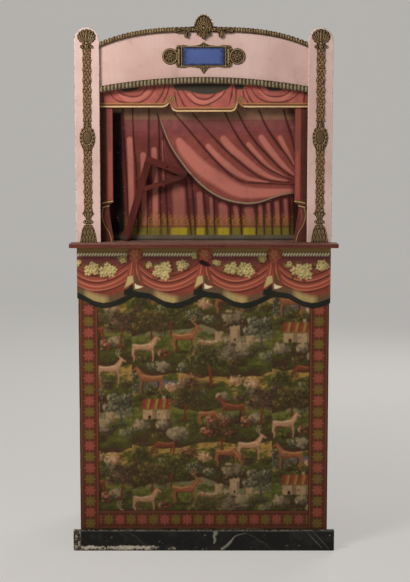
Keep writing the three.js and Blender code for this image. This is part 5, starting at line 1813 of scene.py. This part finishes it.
# %% Painting the front of the plinth
def paint_plinth(sheet):
    part, gx, gz = sheet.whole()
    cloud = 0.6 * clouds(gx + gz, gz * 2 - gx * 0.3, 52, 1) + 0.4 * clouds(gx, gz, 14, 2)
    sheet.ink[part] = blended(BLACK_GREEN, STONE_GREY, clamp(cloud * 1.8 - 0.8))
    rng = np.random.default_rng(4)
    for _ in range(46):
        x, slope = rng.uniform(-440, 440), rng.choice((-1, 1)) * rng.uniform(0.5, 1.6)
        path = [(x + slope * (z - 36) + rng.normal(0, 4), z) for z in (-4, 16, 36, 56, 76)]
        sheet.stroke(path, *rng.uniform(0.2, 1.0, 3), ink=VEIN * 0.45, strength=rng.uniform(0.15, 0.6),
                     soft=0.8)
    for path, halves, strength in (
            ([(34, 71), (40, 62), (34, 50), (38, 40), (35, 28)], (5, 10, 5, 6, 4), 0.9),
            ([(60, 6), (72, 14), (82, 22), (94, 36), (108, 52), (140, 61)], (5, 6, 6, 2, 1), 0.85),
            ([(140, 61), (168, 50), (186, 36), (206, 26), (230, 2)], (1.1, 1.0, 1.2, 0.6), 0.6),
            ([(345, 68), (372, 40), (386, 24), (400, 10)], (0.8, 1.7, 1.2), 0.7),
            ([(366, 70), (396, 38), (424, 6)], (0.9, 1.5, 0.9), 0.7),
            ([(-262, 64), (-230, 50), (-212, 30), (-188, 18), (-170, 4)], (0.6, 1.3, 0.7), 0.5),
            ([(-20, 70), (-8, 48), (-26, 30), (-18, 8)], (0.4, 0.8, 0.4), 0.35)):
        sheet.stroke(path, *halves, ink=VEIN * 1.15, strength=strength, soft=0.7)
    for x, z, size in ((4, 54, 5), (-150, 33, 4), (-140, 27, 2.5), (281, 18, 4), (322, 18, 4),
                       (426, 54, 5), (-312, 47, 4), (-330, 34, 2.5), (160, 12, 3), (205, 55, 2)):
        sheet.dab(x, z, size, size * 0.6, 0.5, ink=VEIN, strength=0.75, soft=0.7)
    fine = 0.5 * clouds(gx, gz, 3.2, 5) + 0.5 * clouds(gx, gz, 9, 6)
    along = np.interp(gx, [-440, -420, -380, -330, -280, -210, -150, -60, 40, 100, 150],
                      [1.0, 0.75, 1.0, 0.6, 1.05, 1.0, 0.55, 0.42, 0.36, 0.3, 0])
    band = along * np.exp(-(((gz - 12) / 8) ** 2))
    foot = 0.3 * np.interp(gx, [-440, 120, 200], [1, 0.8, 0]) * np.exp(-(((gz - 4) / 3) ** 2))
    cover = np.clip((band + foot + 0.9 * fine - 1.02) * 5, 0, 0.92)
    sheet.cover(part, tinted(UNDERCOAT, 0.55 + 0.6 * clouds(gx, gz, 6, 7)), cover)
    top = clamp((gz - 66) / 2) * (0.3 + clouds(gx, gz, 30, 8))
    sheet.cover(part, rgb(120, 114, 100), clamp(0.6 * top))


marble_print = printed("marble_skin", 0.45, 500, 0.25, rgb(34, 34, 28), 0.15, 0.12)
low, high = box_mm("plinth_front_board")
SKIN_STEP = 1.4
skin = Field((low.x, high.x), (0, 72), SKIN_STEP)
paint_plinth(skin)
ruled("plinth_skin", skin, net(low.x + 2, high.x - 4.5, SKIN_STEP), 2, high.z - 2.5, 48,
      low.y - 0.25, 0.22, "stand", marble_print, marble)

# %% [markdown]
# ## Ribs, beads and nails
# The arch has a moulding of upright ribs, and the top of the fronton a row of beads. Both are
# one small shape set many times along a curve, which is a job for Geometry Nodes: a tree puts
# points on the arch by its formula, sets a rounded shape on each, and gives it a finish. The
# size, the count and the curve are named inputs, so the same tree makes both rows. A second
# tree sets a round nail head wherever a point is.

# %% A helper for trees
class Tree:
    """A Geometry Nodes tree whose inputs have names."""

    def __init__(self, name, **inputs):
        self.group = bpy.data.node_groups.new(name, "GeometryNodeTree")
        face = self.group.interface
        face.new_socket("Geometry", in_out="INPUT", socket_type="NodeSocketGeometry")
        for label, kind in inputs.items():
            face.new_socket(label, in_out="INPUT", socket_type="NodeSocket" + kind)
        face.new_socket("Geometry", in_out="OUTPUT", socket_type="NodeSocketGeometry")
        self.given = self.group.nodes.new("NodeGroupInput").outputs
        self.result = self.group.nodes.new("NodeGroupOutput").inputs[0]

    def node(self, kind, feeds=None, **settings):
        kind = kind if "Node" in kind else "GeometryNode" + kind
        return wired(self.group, kind, feeds, **settings).outputs[0]

    def maths(self, how, one, other=0.0):
        return self.node("ShaderNodeMath", {0: one, 1: other}, operation=how)

    def finish(self, instances):
        """Makes the instances real, smooth and dressed."""
        real = self.node("RealizeInstances", {0: instances})
        smooth = self.node("SetShadeSmooth", {0: real})
        feeds = {"Geometry": smooth, "Material": self.given["Finish"]}
        dressed = self.node("SetMaterial", feeds)
        self.group.links.new(dressed, self.result)


def grown(name, tree, body, slot, points=(), ways=(), **values):
    """Runs a tree on some points and keeps what it makes as a plain piece."""
    seed = bpy.data.meshes.new(name + "_points")
    seed.from_pydata([tuple(p) for p in points], [], [])
    if len(ways):
        way = seed.attributes.new("way", "FLOAT_VECTOR", "POINT")
        way.data.foreach_set("vector", np.array(ways, float).ravel())
    holder = bpy.data.objects.new(name + "_points", seed)
    scene.collection.objects.link(holder)
    modifier = holder.modifiers.new("tree", "NODES")
    modifier.node_group = tree.group
    for item in tree.group.interface.items_tree:
        if item.in_out == "INPUT" and item.name in values:
            modifier[item.identifier] = values[item.name]
    view = bpy.context.evaluated_depsgraph_get()
    mesh = bpy.data.meshes.new_from_object(holder.evaluated_get(view), depsgraph=view)
    holder.modifiers.remove(modifier)
    bpy.data.objects.remove(holder)
    print(name, len(mesh.polygons), "faces")
    return new_piece(name, mesh, body)


# %% Rows along an arch
arch_row = Tree("row_along_an_arch", Count="Int", Start="Float", Reach="Float", End_Height="Float",
                Rise="Float", Power="Float", Full_Reach="Float", Front="Float", Item_Size="Vector",
                Finish="Material")
given, maths = arch_row.given, arch_row.maths
row = arch_row.node("MeshLine", {"Count": given["Count"]})
step = maths("ADD", arch_row.node("InputIndex"), given["Start"])
step = maths("DIVIDE", step, given["Count"])
step = maths("SUBTRACT", maths("MULTIPLY", step, 2.0), 1.0)
across = maths("MULTIPLY", step, given["Reach"])
share = maths("ABSOLUTE", maths("DIVIDE", across, given["Full_Reach"]))
fall = maths("POWER", share, given["Power"])
rise = maths("MULTIPLY", maths("SUBTRACT", 1.0, fall), given["Rise"])
height = maths("ADD", rise, given["End_Height"])
place = arch_row.node("ShaderNodeCombineXYZ", {"X": across, "Y": given["Front"], "Z": height})
placed = arch_row.node("SetPosition", {"Geometry": row, "Position": place})
lump = arch_row.node("MeshUVSphere", {"Segments": 10, "Rings": 7, "Radius": 1.0})
feeds = {"Points": placed, "Instance": lump, "Scale": given["Item_Size"]}
arch_row.finish(arch_row.node("InstanceOnPoints", feeds))


def plain_gilt(name, lit, tone, dark):
    """A finish for beads and ribs, whose shape alone gives them light and shade."""
    finish = Finish(name, rough=0.6, metal=0.15)
    colour = finish.over(lit, tone, finish.noise(60, 5), 0.35, 0.65)
    colour = finish.over(colour, dark, finish.noise(420, 3), 0.56, 0.68, 0.7)
    return finish.done(colour, finish.noise(300, 3), 0.15)


rib_gilt = plain_gilt("rib_gilt", rgb(160, 148, 120), rgb(128, 114, 86), rgb(84, 66, 46))
bead_gilt = plain_gilt("bead_gilt", rgb(170, 148, 108), rgb(128, 104, 70), rgb(60, 42, 26))
REACH, FULL_REACH = 0.3407, 0.341  # half the length of a row, and half that of its arch
arch_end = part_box("fronton")[0].z
top_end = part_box("fronton_top_trim")[0].z + 0.010
band_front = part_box("fronton_arch_moulding")[0].y
trim_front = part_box("fronton_top_trim")[0].y
grown("arch_ribs", arch_row, "stand", "gilt_card", Count=57, Start=0.5, Reach=REACH,
      End_Height=arch_end, Rise=0.030, Power=2.0, Full_Reach=FULL_REACH,
      Front=band_front + 0.0006, Item_Size=(4.5 * MM, 3.2 * MM, 10.2 * MM), Finish=rib_gilt)
grown("top_beads", arch_row, "stand", "gilt_card", Count=80, Start=0.5, Reach=REACH,
      End_Height=top_end, Rise=0.050, Power=3.0, Full_Reach=FULL_REACH,
      Front=trim_front + 0.0004, Item_Size=(3.2 * MM, 2.6 * MM, 6.4 * MM), Finish=bead_gilt)
groove = plain_gilt("moulding_ground", rgb(92, 72, 48), rgb(64, 48, 32), rgb(36, 26, 18))
for node in ("fronton_arch_moulding", "fronton_top_trim"):
    dress(node, groove)

# %% Nails and screws
nail_tree = Tree("round_heads", Head_Radius="Float", Head_Rise="Float", Finish="Material")
given = nail_tree.given
way = nail_tree.node("InputNamedAttribute", {"Name": "way"}, data_type="FLOAT_VECTOR")
turn = nail_tree.node("FunctionNodeAlignRotationToVector", {"Vector": way}, axis="Z")
feeds = {"X": given["Head_Radius"], "Y": given["Head_Radius"], "Z": given["Head_Rise"]}
size = nail_tree.node("ShaderNodeCombineXYZ", feeds)
head = nail_tree.node("MeshUVSphere", {"Segments": 12, "Rings": 6, "Radius": 1.0})
feeds = {"Points": given["Geometry"], "Instance": head, "Rotation": turn, "Scale": size}
nail_tree.finish(nail_tree.node("InstanceOnPoints", feeds))


def metal_finish(name, bright, dull, stain):
    finish = Finish(name, rough=0.42, metal=0.85)
    patch = finish.noise(45, 6, bend=0.6)
    colour = finish.over(bright, dull, patch, 0.35, 0.62)
    colour = finish.over(colour, stain, finish.noise(160, 4), 0.55, 0.72, 0.8)
    rough = finish.between(patch, 0.3, 0.7, 0.32, 0.7)
    return finish.done(colour, finish.noise(500, 3, grain_stretch("Z", along=0.1)), 0.05, rough)


old_brass = metal_finish("old_brass", rgb(178, 146, 86), rgb(120, 96, 54), rgb(70, 54, 34))
iron = metal_finish("nail_iron", rgb(110, 104, 98), rgb(70, 62, 56), rgb(66, 42, 28))
print("metals ready")

# %% Setting the nails and screws
LEAF_FACE, BRACKET_FACE = 399.2, 397.7  # faces of the hinge leaves and roller brackets, in mm
LEAF_SCREWS = np.linspace(85, 1635, 9)  # heights up a hinge leaf
BRACKET_SCREWS = ((-0.130, 1.579), (-0.130, 1.621))  # depths and heights, in metres
LEDGE_INSET, LEDGE_STAGGER = 0.016, 0.012  # of the two rows of nails on a ledge, in metres
TACK_REACH = 372  # from the middle of the batten to its last tack


def heads(name, body, spots, way, radius, rise, metal):
    """Sets round heads, which all point one way; radius and rise are in millimetres."""
    grown(name, nail_tree, body, "old_brass", spots, [way] * len(spots), Head_Radius=radius * MM,
          Head_Rise=rise * MM, Finish=metal)


for side, sign in SIDES:
    inwards = (-sign, 0, 0)
    for kind in ("hinge_fixed_leaf", "hinge_moving_leaf", "hinge_pin", "roller_bracket"):
        dress(f"{side}_{kind}", old_brass)
    for kind, body, y in (("fixed", "stand", -110), ("moving", f"{side}_wing", -90)):
        spots = [(sign * LEAF_FACE * MM, y * MM, z * MM) for z in LEAF_SCREWS]
        heads(f"{side}_{kind}_leaf_screws", body, spots, inwards, 3.0, 1.1, old_brass)
    spots = [(sign * BRACKET_FACE * MM, y, z) for y, z in BRACKET_SCREWS]
    heads(f"{side}_bracket_screws", "stand", spots, inwards, 3.2, 1.2, old_brass)
    spots = []
    for level in ("bottom", "middle", "top"):
        low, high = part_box(f"{side}_wing_{level}_ledge")
        face = low.x if sign > 0 else high.x
        for y in np.linspace(low.y + 0.02, high.y - 0.02, 5):
            spots += [(face, y, low.z + LEDGE_INSET),
                      (face, y + LEDGE_STAGGER, high.z - LEDGE_INSET)]
    heads(f"{side}_ledge_nails", f"{side}_wing", spots, inwards, 3.4, 0.9, iron)
low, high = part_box("curtain_batten")
spots = [(x * MM, high.y, (low.z + high.z) / 2) for x in np.linspace(-TACK_REACH, TACK_REACH, 17)]
heads("batten_tacks", "curtain_foot", spots, (0, 1, 0), 3.0, 0.9, iron)
dress("prop_pivot_screw", iron)
dress("curtain_roller", bare_wood["X"])
print("trims and fixings done")
